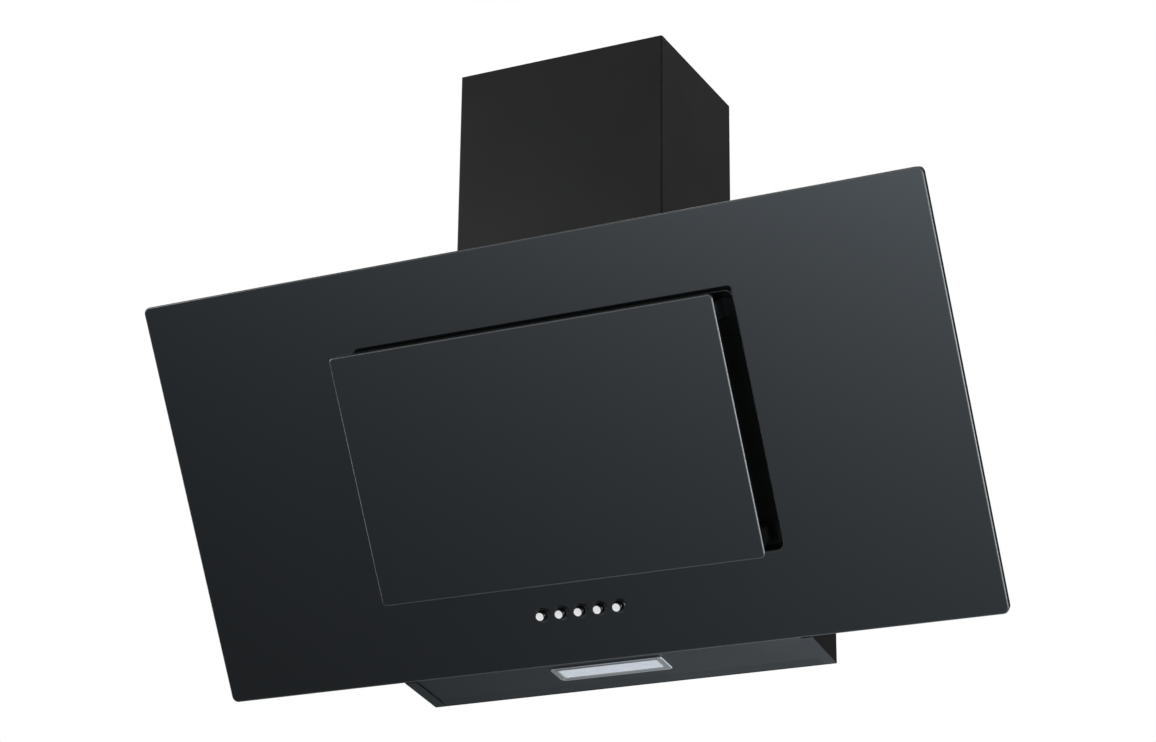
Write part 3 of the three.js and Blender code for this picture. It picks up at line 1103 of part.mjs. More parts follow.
function buildChimney() {
  const lowerTop = CHIMNEY_BASE + CHIMNEY_LOWER_HEIGHT;
  piece('chimney_lower', cover(
    CHIMNEY_WIDTH, CHIMNEY_DEPTH, CHIMNEY_BASE, lowerTop, 0), blackPaint, wall);

  // Foot bracket inside the lower cover, folded out onto the roof.
  const slack = SHEET + CHIMNEY_CLEARANCE;
  const [a, d] = [CHIMNEY_WIDTH / 2 - slack, CHIMNEY_DEPTH - slack];
  const footTop = CHIMNEY_BASE + CHIMNEY_FOOT_HEIGHT;
  const strip = join(
    block(-a, a, CHIMNEY_BASE, footTop, d - SHEET, d),
    ...[[-a, -a + SHEET], [a - SHEET, a]].map(([x0, x1]) => block(
      x0, x1, CHIMNEY_BASE, footTop, CHIMNEY_FOOT_FROM_WALL, d)),
    ...[[-a, -a + CHIMNEY_FOOT_FLANGE], [a - CHIMNEY_FOOT_FLANGE, a]].map(([x0, x1]) => block(
      x0, x1, CHIMNEY_BASE, CHIMNEY_BASE + SHEET, CHIMNEY_FOOT_FROM_WALL, d)));
  piece('chimney_foot', strip, zincSteel, wall);

  // Upper cover nested in the lower one, with vents near its top.
  const upperWidth = CHIMNEY_WIDTH - 2 * slack;
  const upperDepth = CHIMNEY_DEPTH - slack;
  const upperBase = footTop + RUNNING_GAP;
  const upperTop = upperBase + CHIMNEY_UPPER_HEIGHT;
  let upper = cover(upperWidth, upperDepth, upperBase, upperTop, slack);
  for (let i = 0; i < VENT_COUNT; i += 1) {
    const y = upperTop - VENT_BELOW_TOP - i * VENT_PITCH;
    upper = cut(upper, block(-CHIMNEY_WIDTH, CHIMNEY_WIDTH, y - VENT_WIDTH / 2, y + VENT_WIDTH / 2,
      DUCT_CENTRE - VENT_LENGTH / 2, DUCT_CENTRE + VENT_LENGTH / 2));
  }
  piece('chimney_upper', upper, blackPaint, wall);

  // Bracket that holds the top of the upper cover on the wall.
  const inner = upperWidth / 2 - SHEET - RUNNING_GAP;
  const bracketTop = upperTop - WALL_BRACKET_BELOW_TOP;
  const bracketFoot = bracketTop - WALL_BRACKET_HEIGHT;
  const gapBack = slack + SHEET + RUNNING_GAP;
  const plate = (x0, x1, out0, out1) => block(x0, x1, bracketFoot, bracketTop, out0, out1);
  const step = inner - CHIMNEY_RETURN - WALL_BRACKET_BESIDE;
  const hole = (x) => rod(KEYHOLE_SLOT, -1, gapBack, x, (bracketFoot + bracketTop) / 2, 12);
  let bracket = join(
    plate(-inner, inner, gapBack, gapBack + WALL_BRACKET_SHEET),
    plate(-inner, -inner + WALL_BRACKET_SHEET, gapBack, gapBack + WALL_BRACKET_EAR),
    plate(inner - WALL_BRACKET_SHEET, inner, gapBack, gapBack + WALL_BRACKET_EAR),
    plate(-step, step, 0, gapBack + WALL_BRACKET_SHEET));
  bracket = cut(bracket,
    block(-step + WALL_BRACKET_SHEET, step - WALL_BRACKET_SHEET, bracketFoot - 1, bracketTop + 1,
      WALL_BRACKET_SHEET, gapBack + WALL_BRACKET_SHEET + 1),
    hole(-step / 2), hole(step / 2));
  piece('chimney_bracket', bracket, zincSteel, wall);
}

// ---------------------------------------------------------------- electrics

function buildElectrics() {
  const { width, height, depth, wall: thick } = CONTROL_BOX;
  const back = SHEET + RUNNING_GAP;
  const [x0, x1] = [CONTROL_BOX_X - width / 2, CONTROL_BOX_X + width / 2];
  const [y0, y1] = [CONTROL_BOX_CENTRE_HEIGHT - height / 2, CONTROL_BOX_CENTRE_HEIGHT + height / 2];
  let box = cut(
    block(x0, x1, y0, y1, back, back + depth),
    block(x0 + thick, x1 - thick, y0 + thick, y1 - thick, back + thick, back + depth + 1));
  for (const x of [x0 + 10, x1 - 10]) {
    for (const y of [y0 + 10, y1 - 10]) {
      const pillar = rod(9, back + 1, back + depth, x, y, 8);
      box = join(box, cut(pillar, rod(3, back + 20, back + depth + 1, x, y, 8)));
    }
  }
  box = cut(box, block(x0 + 40, x0 + 62, y1 - 5, y1 + 5, back + 12, back + 26));
  piece('control_box', box, blackPlastic, wall);
  const lidBack = back + depth + RUNNING_GAP;
  piece('control_box_lid', join(
    block(x0 - 1, x1 + 1, y0 - 1, y1 + 1, lidBack, lidBack + LID_THICKNESS),
    block(x0 + 18, x1 - 18, y0 + 18, y1 - 18, lidBack, lidBack + 2 * LID_THICKNESS)), blackPlastic, wall);

  // Capacitor in a clip under the box.
  const cy = y0 - CAPACITOR_DIAMETER / 2 - 12;
  const cz = back + SHEET + CAPACITOR_DIAMETER / 2 + RUNNING_GAP;
  const lying = (made) => made.rotate([0, 90, 0]).translate([CONTROL_BOX_X, cy, cz]);
  const [half, r] = [CAPACITOR_LENGTH / 2, CAPACITOR_DIAMETER / 2];
  piece('capacitor', lying(turned([
    [0, -half], [r - 1, -half], [r, -half + 1], [r, half - 3], [r - 2, half],
    [5, half], [5, half + 6], [0, half + 6],
  ], 16)), greyPlastic, wall);
  const band = cut(rod(CAPACITOR_DIAMETER + 2 * RUNNING_GAP + 2 * SHEET, -7, 7, 0, 0, 16),
    rod(CAPACITOR_DIAMETER + 2 * RUNNING_GAP, -8, 8, 0, 0, 16));
  const clipHalf = CAPACITOR_DIAMETER / 2 + SHEET + 8;
  let clip = join(lying(band), block(
    CONTROL_BOX_X - 7, CONTROL_BOX_X + 7, cy - clipHalf, cy + clipHalf, back, back + SHEET));
  clip = cut(clip, block(CONTROL_BOX_X - 8, CONTROL_BOX_X + 8,
    cy - clipHalf, cy + clipHalf, -5, back));
  clip = cut(clip, lying(rod(CAPACITOR_DIAMETER + 2 * RUNNING_GAP, -8, 8, 0, 0, 16)));
  piece('capacitor_clip', clip, zincSteel, wall);

  // Cable gland in the roof, beside the adapter.
  const upright = (diameter, y0, y1, sides) => rodUp(
    diameter, BODY_TOP + y0, BODY_TOP + y1, GLAND_X, GLAND_FROM_WALL, sides);
  const nut = GLAND_HEIGHT / 3;
  let gland = join(
    upright(GLAND_THREAD, -GLAND_HEIGHT / 2, nut),
    upright(GLAND_DIAMETER, RUNNING_GAP, nut, 6),
    upright(GLAND_DIAMETER - 3, nut - 1, GLAND_HEIGHT));
  gland = cut(gland, upright(GLAND_BORE, -GLAND_HEIGHT, GLAND_HEIGHT + 1));
  piece('cable_gland', gland, blackPlastic, wall);
}

buildGlassFront();
buildBody();
buildRecess();
buildFilter();
buildFlap();
buildButtons();
buildLamp();
buildFan();
buildOutlet();
buildChimney();
buildElectrics();

export default hood;
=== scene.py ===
"""Dresses a wall-mounted chimney range hood, 90 cm wide, with a leaning black glass front.

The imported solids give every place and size. Each sub-assembly below is a class: its sizes are
dataclass fields in millimetres, and its methods build the fine pieces and give them their finish.
"""

import json
import logging
import math
from dataclasses import dataclass
from enum import Enum
from functools import cache
from typing import Any, Callable, Iterable, Optional, Sequence

import bmesh
import bpy
from mathutils import Matrix, Vector


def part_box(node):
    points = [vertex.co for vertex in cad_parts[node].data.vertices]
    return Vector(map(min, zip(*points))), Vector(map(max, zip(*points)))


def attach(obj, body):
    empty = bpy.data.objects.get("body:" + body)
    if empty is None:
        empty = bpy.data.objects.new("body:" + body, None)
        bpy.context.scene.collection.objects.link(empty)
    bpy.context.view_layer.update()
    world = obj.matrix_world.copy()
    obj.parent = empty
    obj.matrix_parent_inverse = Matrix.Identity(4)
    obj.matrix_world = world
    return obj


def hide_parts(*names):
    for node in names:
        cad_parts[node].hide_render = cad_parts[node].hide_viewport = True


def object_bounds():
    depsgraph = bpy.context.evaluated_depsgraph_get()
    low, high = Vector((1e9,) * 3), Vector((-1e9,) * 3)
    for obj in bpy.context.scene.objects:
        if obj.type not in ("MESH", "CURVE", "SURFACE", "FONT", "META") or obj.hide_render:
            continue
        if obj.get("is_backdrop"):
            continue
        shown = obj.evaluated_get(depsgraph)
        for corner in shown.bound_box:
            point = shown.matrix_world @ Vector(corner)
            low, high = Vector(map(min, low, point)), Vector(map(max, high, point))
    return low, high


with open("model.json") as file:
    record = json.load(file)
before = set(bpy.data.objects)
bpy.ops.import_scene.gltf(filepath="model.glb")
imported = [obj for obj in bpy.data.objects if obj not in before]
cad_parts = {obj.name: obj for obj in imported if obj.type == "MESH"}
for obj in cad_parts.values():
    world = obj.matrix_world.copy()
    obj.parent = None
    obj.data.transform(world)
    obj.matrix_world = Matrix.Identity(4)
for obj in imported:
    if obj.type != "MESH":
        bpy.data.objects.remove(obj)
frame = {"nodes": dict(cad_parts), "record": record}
cad_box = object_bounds()

log = logging.getLogger("hood")
Mesh = bpy.types.Mesh
Object = bpy.types.Object
Socket = bpy.types.NodeSocket
Tree = bpy.types.NodeTree
Point = tuple[float, float]
Triple = tuple[float, float, float]
Ramp = tuple[float, float, float, float]

MM = 0.001
FLAT_ANGLE = 0.5        # degrees between faces that are joined into a large flat one
SOLID_FLAT_ANGLE = 1.0  # the same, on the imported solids
SOFT_ANGLE = 40.0       # degrees above which an edge of a solid is rounded or stays sharp
SIDES = (-1, 1)


# --- planes of the hood


class Plane(Enum):
    """The planes that pieces are drawn in: origin in millimetres, and degrees about the X axis.

    SLOPE has y up the glass and z out of it, UNDERSIDE has y towards the wall and z into the
    body, WALL has y up and z away from the wall, and ROOM is the frame of the whole hood.
    """

    SLOPE = ((0.0, -82.0, -183.5), 120.0)
    UNDERSIDE = ((0.0, 0.0, -191.0), -8.1)
    WALL = ((0.0, 0.0, 0.0), 90.0)
    ROOM = ((0.0, 0.0, 0.0), 0.0)

    def matrix(self) -> Matrix:
        """The matrix from millimetres on this plane to metres in the hood's frame."""
        origin, degrees = self.value
        turn = Matrix.Rotation(math.radians(degrees), 4, "X")
        return Matrix.Translation(Vector(origin) * MM) @ turn @ Matrix.Scale(MM, 4)


# --- node trees


class Nodes:
    """A node tree with short calls for adding nodes and joining their sockets."""

    kinds = {float: "NodeSocketFloat", int: "NodeSocketInt", tuple: "NodeSocketVector"}

    def __init__(self, tree: Tree) -> None:
        """Takes the tree that the nodes go into."""
        self.tree = tree

    @classmethod
    def of(cls, owner: Any) -> "Nodes":
        """Returns the emptied tree of a material or a world."""
        owner.use_nodes = True
        owner.node_tree.nodes.clear()
        return cls(owner.node_tree)

    @classmethod
    def group(cls, name: str, kind: str, inputs: dict[str, Any], outputs: dict[str, str]) -> "Nodes":
        """Makes an empty node group with named sockets.

        Args:
            name: Name of the group.
            kind: ShaderNodeTree or GeometryNodeTree.
            inputs: Default of each input, or the type of a socket that has none.
            outputs: Socket type of each output.

        Returns:
            The group, ready for its nodes.
        """
        tree = bpy.data.node_groups.new(name, kind)
        for label, value in inputs.items():
            bare = isinstance(value, str)
            made = tree.interface.new_socket(
                label, in_out="INPUT", socket_type=value if bare else cls.kinds[type(value)])
            if not bare:
                made.default_value = value
        for label, socket in outputs.items():
            tree.interface.new_socket(label, in_out="OUTPUT", socket_type=socket)
        return cls(tree)

    def add(self, kind: str, inputs: Optional[dict] = None, **settings: Any) -> bpy.types.Node:
        """Adds a node.

        Args:
            kind: The node's type name.
            inputs: Values or sockets for its inputs, by name or number.
            settings: Properties of the node itself.

        Returns:
            The new node.
        """
        node = self.tree.nodes.new(kind)
        for key, value in settings.items():
            setattr(node, key, value)
        for key, value in (inputs or {}).items():
            if isinstance(value, Socket):
                self.tree.links.new(value, node.inputs[key])
            else:
                node.inputs[key].default_value = value
        return node

    def first(self, kind: str, inputs: Optional[dict] = None, **settings: Any) -> Socket:
        """Adds a node and returns its first output."""
        return self.add(kind, inputs, **settings).outputs[0]

    def given(self) -> Any:
        """Adds the node that holds the group's own inputs and returns them."""
        return self.tree.nodes.new("NodeGroupInput").outputs

    def output(self, kind: str = "NodeGroupOutput", **values: Socket) -> Tree:
        """Joins sockets to an output node, by input name, and returns the tree."""
        self.add(kind, values)
        return self.tree

    def math(self, operation: str, *values: Any) -> Socket:
        """Adds a Math node."""
        return self.first("ShaderNodeMath", dict(enumerate(values)), operation=operation)

    def times(self, a: Any, b: Any) -> Socket:
        """Multiplies two values."""
        return self.math("MULTIPLY", a, b)

    def plus(self, a: Any, b: Any) -> Socket:
        """Adds two values."""
        return self.math("ADD", a, b)

    def minus(self, a: Any, b: Any) -> Socket:
        """Takes the second value from the first."""
        return self.math("SUBTRACT", a, b)

    def blend(self, share: Any, low: Any, high: Any) -> Socket:
        """Goes from one value to another as the share goes from 0 to 1."""
        return self.plus(self.times(high, share), self.times(low, self.minus(1.0, share)))

    def remap(self, value: Any, low: float, high: float, to_low: Any, to_high: Any,
              smooth: bool = False) -> Socket:
        """Adds a Map Range node and returns its result."""
        inputs = dict(enumerate((value, low, high, to_low, to_high)))
        kind = "SMOOTHSTEP" if smooth else "LINEAR"
        return self.first("ShaderNodeMapRange", inputs, interpolation_type=kind)

    def axes(self, vector: Socket) -> Any:
        """Splits a vector into X, Y and Z."""
        return self.add("ShaderNodeSeparateXYZ", {0: vector}).outputs

    def vector(self, **axes: Any) -> Socket:
        """Joins X, Y and Z to a vector."""
        return self.first("ShaderNodeCombineXYZ", axes)

    def spin(self, angle: Socket) -> Socket:
        """Makes a rotation about Z from an angle."""
        return self.first("FunctionNodeAxisAngleToRotation", {"Axis": (0.0, 0.0, 1.0), "Angle": angle})

    def noise(self, place: Socket, scale: Any, detail: float, **more: Any) -> Socket:
        """Adds a noise and returns its value."""
        inputs = {"Vector": place, "Scale": scale, "Detail": detail, **more}
        return self.add("ShaderNodeTexNoise", inputs).outputs["Fac"]

    def mix(self, share: Socket, low: Triple, high: Triple) -> Socket:
        """Mixes two colours."""
        inputs = {"Factor": share, 6: (*low, 1.0), 7: (*high, 1.0)}
        return self.add("ShaderNodeMix", inputs, data_type="RGBA").outputs[2]

    def bump(self, height: Socket, depth: float) -> Socket:
        """Makes a normal from a height, with a depth in metres."""
        return self.first("ShaderNodeBump", {"Height": height, "Distance": depth, "Strength": 1.0})

    def effect(self, build: Callable[[], Tree], place: Socket, **values: Any) -> Any:
        """Adds a shared surface effect at a place and returns its outputs."""
        inputs = {"Place": place, **values}
        return self.add("ShaderNodeGroup", inputs, node_tree=build()).outputs


# --- surface effects


def effect_group(name: str, inputs: dict[str, float], *outputs: str) -> Nodes:
    """Makes the empty group of an effect, from a place and some values to some values."""
    return Nodes.group(name, "ShaderNodeTree", {"Place": "NodeSocketVector", **inputs},
                       dict.fromkeys(outputs, "NodeSocketFloat"))


@cache
def grain_group() -> Tree:
    """The fine skin of paint and moulded plastic, with a slow unevenness in its gloss.

    Returns:
        A group from a place to a gloss value and a height.
    """
    group = effect_group("fine_skin", {"Scale": 900.0, "Smoothest": 0.3, "Roughest": 0.45},
                         "Roughness", "Height")
    given = group.given()
    fine = group.noise(given["Place"], given["Scale"], 2.0)
    slow = group.noise(given["Place"], 9.0, 3.0)
    both = group.plus(group.times(fine, 0.35), group.times(slow, 0.65))
    rough = group.remap(both, 0.3, 0.7, given["Smoothest"], given["Roughest"])
    return group.output(Roughness=rough, Height=fine)


@cache
def brushed_group() -> Tree:
    """Fine lines of brushed or rolled metal along X.

    Returns:
        A group from a place to a gloss value, a height and a mask of the lines.
    """
    group = effect_group(
        "brushed_lines", {"Across": 2600.0, "Along": 30.0, "Smoothest": 0.22, "Roughest": 0.42},
        "Roughness", "Height", "Mask")
    given = group.given()
    split = group.axes(given["Place"])
    stretched = group.vector(X=group.times(split["X"], given["Along"]),
                             Y=group.times(split["Y"], given["Across"]),
                             Z=group.times(split["Z"], given["Across"]))
    lines = group.noise(stretched, 1.0, 4.0)
    rough = group.remap(lines, 0.3, 0.7, given["Smoothest"], given["Roughest"])
    return group.output(Roughness=rough, Height=lines, Mask=lines)


@cache
def dust_group() -> Tree:
    """A thin, patchy settling of dust and handling, heavier where the slow noise is high.

    Returns:
        A group from a place to a mask.
    """
    group = effect_group("light_dust", {"Amount": 0.1}, "Mask")
    given = group.given()
    patch = group.remap(group.noise(given["Place"], 14.0, 5.0), 0.4, 0.75, 0.0, 1.0, True)
    speck = group.remap(group.noise(given["Place"], 700.0, 1.0), 0.55, 0.8, 0.35, 1.0)
    return group.output(Mask=group.times(group.times(patch, speck), given["Amount"]))


# --- finishes


@dataclass(frozen=True)
class Finish:
    """A finish with a name, a colour and a range of gloss."""

    name: str
    colour: Triple
    smooth: float = 0.3
    rough: float = 0.45

    @cache
    def material(self) -> bpy.types.Material:
        """Returns this finish's own material, which is built the first time.

        Returns:
            The material; it is never looked up by name, since the pack's plain ones have names too.
        """
        made = bpy.data.materials.new(self.name)
        made.diffuse_color = colour = (*self.colour, 1.0)
        nodes = Nodes.of(made)
        place = nodes.add("ShaderNodeTexCoord").outputs["Object"]
        inputs = {"Base Color": colour, **self.dress(nodes, place)}
        shader = nodes.first("ShaderNodeBsdfPrincipled", inputs)
        nodes.output("ShaderNodeOutputMaterial", Surface=shader)
        return made

    def dress(self, nodes: Nodes, place: Socket) -> dict[str, Any]:
        """Returns the shader's inputs; each kind of finish says how."""
        raise NotImplementedError


@dataclass(frozen=True)
class SkinFinish(Finish):
    """Paint or moulded plastic with a fine skin and a little dust."""

    scale: float = 900.0
    depth: float = 0.00002
    dust: float = 0.05
    shine: float = 0.5
    index: float = 1.5

    def dress(self, nodes: Nodes, place: Socket) -> dict[str, Any]:
        """Adds the skin, its gloss and the dust, and returns the shader's inputs."""
        skin = nodes.effect(grain_group, place, Scale=self.scale, Smoothest=self.smooth,
                            Roughest=self.rough)
        dust = nodes.effect(dust_group, place, Amount=self.dust)
        pale = tuple(min(1.0, c * 0.6 + 0.25) for c in self.colour)
        return {
            "Base Color": nodes.mix(dust["Mask"], self.colour, pale), "Roughness": skin["Roughness"],
            "Specular IOR Level": self.shine, "IOR": self.index,
            "Normal": nodes.bump(skin["Height"], self.depth)}


@dataclass(frozen=True)
class GlassFinish(Finish):
    """Black-backed tempered glass: very smooth, with the faint waviness of tempering."""

    wave: float = 0.000012
    shine: float = 1.0

    def dress(self, nodes: Nodes, place: Socket) -> dict[str, Any]:
        """Adds the waviness and a trace of wiping marks, and returns the shader's inputs."""
        wipes = nodes.noise(place, 22.0, 6.0, Distortion=1.2)
        return {
            "Roughness": nodes.remap(wipes, 0.35, 0.75, self.smooth, self.rough),
            "Specular IOR Level": self.shine,
            "Normal": nodes.bump(nodes.noise(place, 7.0, 1.0), self.wave)}


@dataclass(frozen=True)
class MetalFinish(Finish):
    """Rolled, brushed or polished metal with fine lines."""

    depth: float = 0.000008
    tint: float = 0.9
    spangle: float = 0.0

    def dress(self, nodes: Nodes, place: Socket) -> dict[str, Any]:
        """Adds the lines, and a zinc coat's spangle, and returns the shader's inputs."""
        lines = nodes.effect(brushed_group, place, Smoothest=self.smooth, Roughest=self.rough)
        mask = lines["Mask"]
        if self.spangle:
            flakes = nodes.add("ShaderNodeTexVoronoi", {"Vector": place, "Scale": self.spangle})
            grey = nodes.first("ShaderNodeSeparateColor", {0: flakes.outputs["Color"]})
            mask = nodes.plus(nodes.times(grey, 0.7), nodes.times(mask, 0.3))
        darker = tuple(c * self.tint for c in self.colour)
        return {
            "Metallic": 1.0, "Base Color": nodes.mix(mask, darker, self.colour),
            "Roughness": lines["Roughness"], "Normal": nodes.bump(lines["Height"], self.depth)}


@dataclass(frozen=True)
class DiffuserFinish(Finish):
    """Frosted lamp cover: milky, with a fine etched surface and a faint cool glow."""

    milk: float = 0.3
    milk_depth: float = 0.002
    etch_depth: float = 0.00002
    glow: Triple = (0.84, 0.92, 1.0)
    glow_strength: float = 0.1

    def dress(self, nodes: Nodes, place: Socket) -> dict[str, Any]:
        """Adds the etching and the milky depth, and returns the shader's inputs."""
        etch = nodes.noise(place, 1500.0, 2.0)
        return {
            "Roughness": nodes.remap(etch, 0.3, 0.7, self.smooth, self.rough),
            "Subsurface Weight": self.milk, "Subsurface Scale": self.milk_depth,
            "Emission Color": (*self.glow, 1.0), "Emission Strength": self.glow_strength,
            "Normal": nodes.bump(etch, self.etch_depth)}


class Look(Enum):
    """The finishes of the hood's pieces."""

    GLASS = GlassFinish("tempered_black_glass", (0.0035, 0.004, 0.0045), 0.025, 0.06)
    PAINT = SkinFinish("satin_black_paint", (0.0052, 0.0055, 0.0056), 0.32, 0.42, scale=1400.0,
                       dust=0.02)
    ZINC = MetalFinish("galvanised_sheet", (0.56, 0.57, 0.58), 0.3, 0.5, tint=0.8, spangle=160.0)
    BRUSHED = MetalFinish("brushed_steel", (0.78, 0.75, 0.7), 0.22, 0.38, tint=0.6)
    ALUMINIUM = MetalFinish("bare_aluminium", (0.72, 0.73, 0.74), 0.22, 0.38)
    CHROME = MetalFinish("satin_chrome", (0.9, 0.9, 0.92), 0.12, 0.2, depth=0.000003)
    PRIMER = SkinFinish("matt_black_primer", (0.004, 0.004, 0.0043), 0.6, 0.75, scale=1100.0,
                        dust=0.02, shine=0.2)
    EDGE = SkinFinish("polished_glass_chamfer", (0.035, 0.038, 0.038), 0.1, 0.2, scale=2200.0,
                      depth=0.000003, dust=0.0, shine=1.0, index=1.8)
    CAP = SkinFinish("satin_silver_cap", (0.95, 0.95, 0.96), 0.22, 0.32, scale=1500.0,
                     depth=0.000004, dust=0.02)
    DARK_SCREW = MetalFinish("blackened_screw", (0.09, 0.09, 0.095), 0.3, 0.45, tint=0.8)
    GLOSS_PLASTIC = SkinFinish("gloss_black_plastic", (0.004, 0.004, 0.0045), 0.1, 0.2, scale=500.0,
                               depth=0.000002, dust=0.01, shine=0.9)
    BLACK_PLASTIC = SkinFinish("moulded_black_plastic", (0.012, 0.012, 0.013), 0.35, 0.5, scale=1100.0,
                               depth=0.00001, dust=0.03)
    GREY_PLASTIC = SkinFinish("moulded_grey_plastic", (0.05, 0.053, 0.056), 0.45, 0.6, scale=1100.0)
    DIFFUSER = DiffuserFinish("frosted_cover", (0.64, 0.68, 0.75), 0.35, 0.5)
    BOARD = SkinFinish("white_lamp_board", (0.75, 0.76, 0.74), 0.4, 0.55, dust=0.0)
    FERRITE = SkinFinish("sintered_ferrite", (0.03, 0.03, 0.032), 0.5, 0.7, scale=1800.0,
                         depth=0.00004)

    def on(self, obj: Object) -> None:
        """Gives the finish to the whole of an object."""
        obj.data.materials.clear()
        self.also_on(obj)

    def also_on(self, obj: Object) -> None:
        """Adds the finish to an object's own, for some of its faces."""
        obj.data.materials.append(self.value.material())


SLOT_LOOKS = {
    "black_glass": Look.GLASS, "black_paint": Look.PAINT, "zinc_steel": Look.ZINC,
    "brushed_bezel": Look.BRUSHED, "aluminium": Look.ALUMINIUM, "chrome": Look.CHROME,
    "black_plastic": Look.BLACK_PLASTIC, "grey_plastic": Look.GREY_PLASTIC,
    "frosted_lens": Look.DIFFUSER, "lamp_board": Look.BOARD, "ferrite": Look.FERRITE,
}
LOOK_SLOTS = {look: slot for slot, look in SLOT_LOOKS.items()} | {
    Look.GLOSS_PLASTIC: "black_plastic", Look.CAP: "chrome", Look.DARK_SCREW: "zinc_steel"}
NODE_SLOTS = {row["node"]: row["material_slot"] for row in frame["record"]["subparts"]}
NODE_BODIES = {node: body for body, nodes in frame["record"]["behaviour"]["bodies"].items()
               for node in nodes}


# --- geometry trees


def geometry_tree(name: str, sizes: dict[str, Any]) -> tuple[Nodes, Any]:
    """Makes an empty geometry tree that takes a mesh and its sizes and gives a mesh.

    Args:
        name: Name of the tree.
        sizes: Default of each size, or the type of a socket that has none.

    Returns:
        The tree, ready for its nodes, and its inputs.
    """
    inputs = {"Geometry": "NodeSocketGeometry", **sizes, "Finish": "NodeSocketMaterial"}
    tree = Nodes.group(name, "GeometryNodeTree", inputs, {"Geometry": "NodeSocketGeometry"})
    return tree, tree.given()


def close_tree(tree: Nodes, made: Socket, finish: Socket) -> Tree:
    """Ends a tree with its instances made real and its finish set."""
    real = tree.first("GeometryNodeRealizeInstances", {"Geometry": made})
    return tree.output(Geometry=tree.first("GeometryNodeSetMaterial", {
        "Geometry": real, "Material": finish}))


def close_with_copies(tree: Nodes, given: Any, points: Socket, **turn: Socket) -> Tree:
    """Ends a tree with a copy of its mesh at each point, turned where a rotation is given."""
    copies = tree.first("GeometryNodeInstanceOnPoints", {
        "Points": points, "Instance": given["Geometry"], **turn})
    return close_tree(tree, copies, given["Finish"])


@cache
def row_tree() -> Tree:
    """Copies of a mesh in a straight row, by their count and the step between two."""
    tree, given = geometry_tree("row_of_copies", {"Count": 5, "Step": (1.0, 0.0, 0.0)})
    line = {"Count": given["Count"], "Offset": given["Step"]}
    return close_with_copies(tree, given, tree.first("GeometryNodeMeshLine", line))


@cache
def ring_tree() -> Tree:
    """Copies of a mesh turned evenly round local Z, by their count and the ring's centre."""
    tree, given = geometry_tree("ring_of_copies", {"Count": 5, "Centre": (0.0, 0.0, 0.0)})
    line = {"Count": given["Count"], "Start Location": given["Centre"], "Offset": (0.0, 0.0, 0.0)}
    points = tree.first("GeometryNodeMeshLine", line)
    share = tree.math("DIVIDE", tree.first("GeometryNodeInputIndex"), given["Count"])
    return close_with_copies(tree, given, points, Rotation=tree.spin(tree.times(share, math.tau)))


@cache
def marks_tree() -> Tree:
    """Copies of a fastener at marks, standing out along each mark's facing and turned at random.

    Returns:
        The tree, with the object that holds the marks and the seed of the turns.
    """
    tree, given = geometry_tree("fasteners_at_marks", {"Marks": "NodeSocketObject", "Seed": 7})
    marks = tree.add("GeometryNodeObjectInfo", {"Object": given["Marks"]}).outputs["Geometry"]
    facing = tree.first("GeometryNodeInputNamedAttribute", {"Name": "facing"},
                        data_type="FLOAT_VECTOR")
    upright = tree.first("FunctionNodeAlignRotationToVector", {"Vector": facing}, axis="Z")
    angle = tree.add("FunctionNodeRandomValue", {2: 0.0, 3: math.tau, "Seed": given["Seed"]}).outputs[1]
    turn = tree.first("FunctionNodeRotateRotation", {0: upright, 1: tree.spin(angle)},
                      rotation_space="LOCAL")
    return close_with_copies(tree, given, marks, Rotation=turn)


@cache
def weave_tree() -> Tree:
    """Expanded metal folded like a fan: zigzag strands that touch their neighbours at each turn.

    Returns:
        The tree, with the size of the sheet, its cells, its strands and its folds.
    """
    tree, given = geometry_tree("expanded_metal", {
        "Width": 100.0, "Length": 100.0, "Cell Width": 10.0, "Cell Length": 6.4,
        "Strand": 0.9, "Sheet": 0.5, "Fold": 17.0, "Fold Height": 5.0})
    half_cell = {side: tree.times(given[f"Cell {side}"], 0.5) for side in ("Width", "Length")}
    columns, rows = (
        tree.plus(tree.math("ROUND", tree.math("DIVIDE", given[side], step)), 1.0)
        for side, step in half_cell.items())
    grid = tree.first("GeometryNodeMeshGrid", {
        "Size X": given["Width"], "Size Y": given["Length"], "Vertices X": columns,
        "Vertices Y": rows})
    index = tree.first("GeometryNodeInputIndex")
    column = tree.math("FLOOR", tree.math("DIVIDE", index, rows))
    row = tree.minus(index, tree.times(column, rows))
    odd = tree.math("FLOORED_MODULO", tree.plus(column, row), 2.0)
    zigzag = tree.vector(Y=tree.times(tree.minus(odd, 0.5), half_cell["Length"]))
    bent = tree.first("GeometryNodeSetPosition", {"Geometry": grid, "Offset": zigzag})
    along = tree.axes(tree.first("GeometryNodeInputPosition"))["Y"]
    wave = tree.math("DIVIDE", tree.math("PINGPONG", along, given["Fold"]), given["Fold"])
    rise = tree.vector(Z=tree.times(wave, given["Fold Height"]))
    folded = tree.first("GeometryNodeSetPosition", {"Geometry": bent, "Offset": rise})
    ends = tree.add("GeometryNodeInputMeshEdgeVertices").outputs
    between = tree.first("ShaderNodeVectorMath", {0: ends["Position 1"], 1: ends["Position 2"]},
                         operation="SUBTRACT")
    across = tree.math("GREATER_THAN", tree.math("ABSOLUTE", tree.axes(between)["X"]), 0.01)
    lines = tree.first("GeometryNodeMeshToCurve", {"Mesh": folded, "Selection": across})
    section = tree.first("GeometryNodeCurvePrimitiveQuadrilateral", {
        "Width": given["Sheet"], "Height": given["Strand"]})
    strands = tree.first("GeometryNodeCurveToMesh", {
        "Curve": lines, "Profile Curve": section, "Fill Caps": True})
    return close_tree(tree, strands, given["Finish"])


# --- outlines


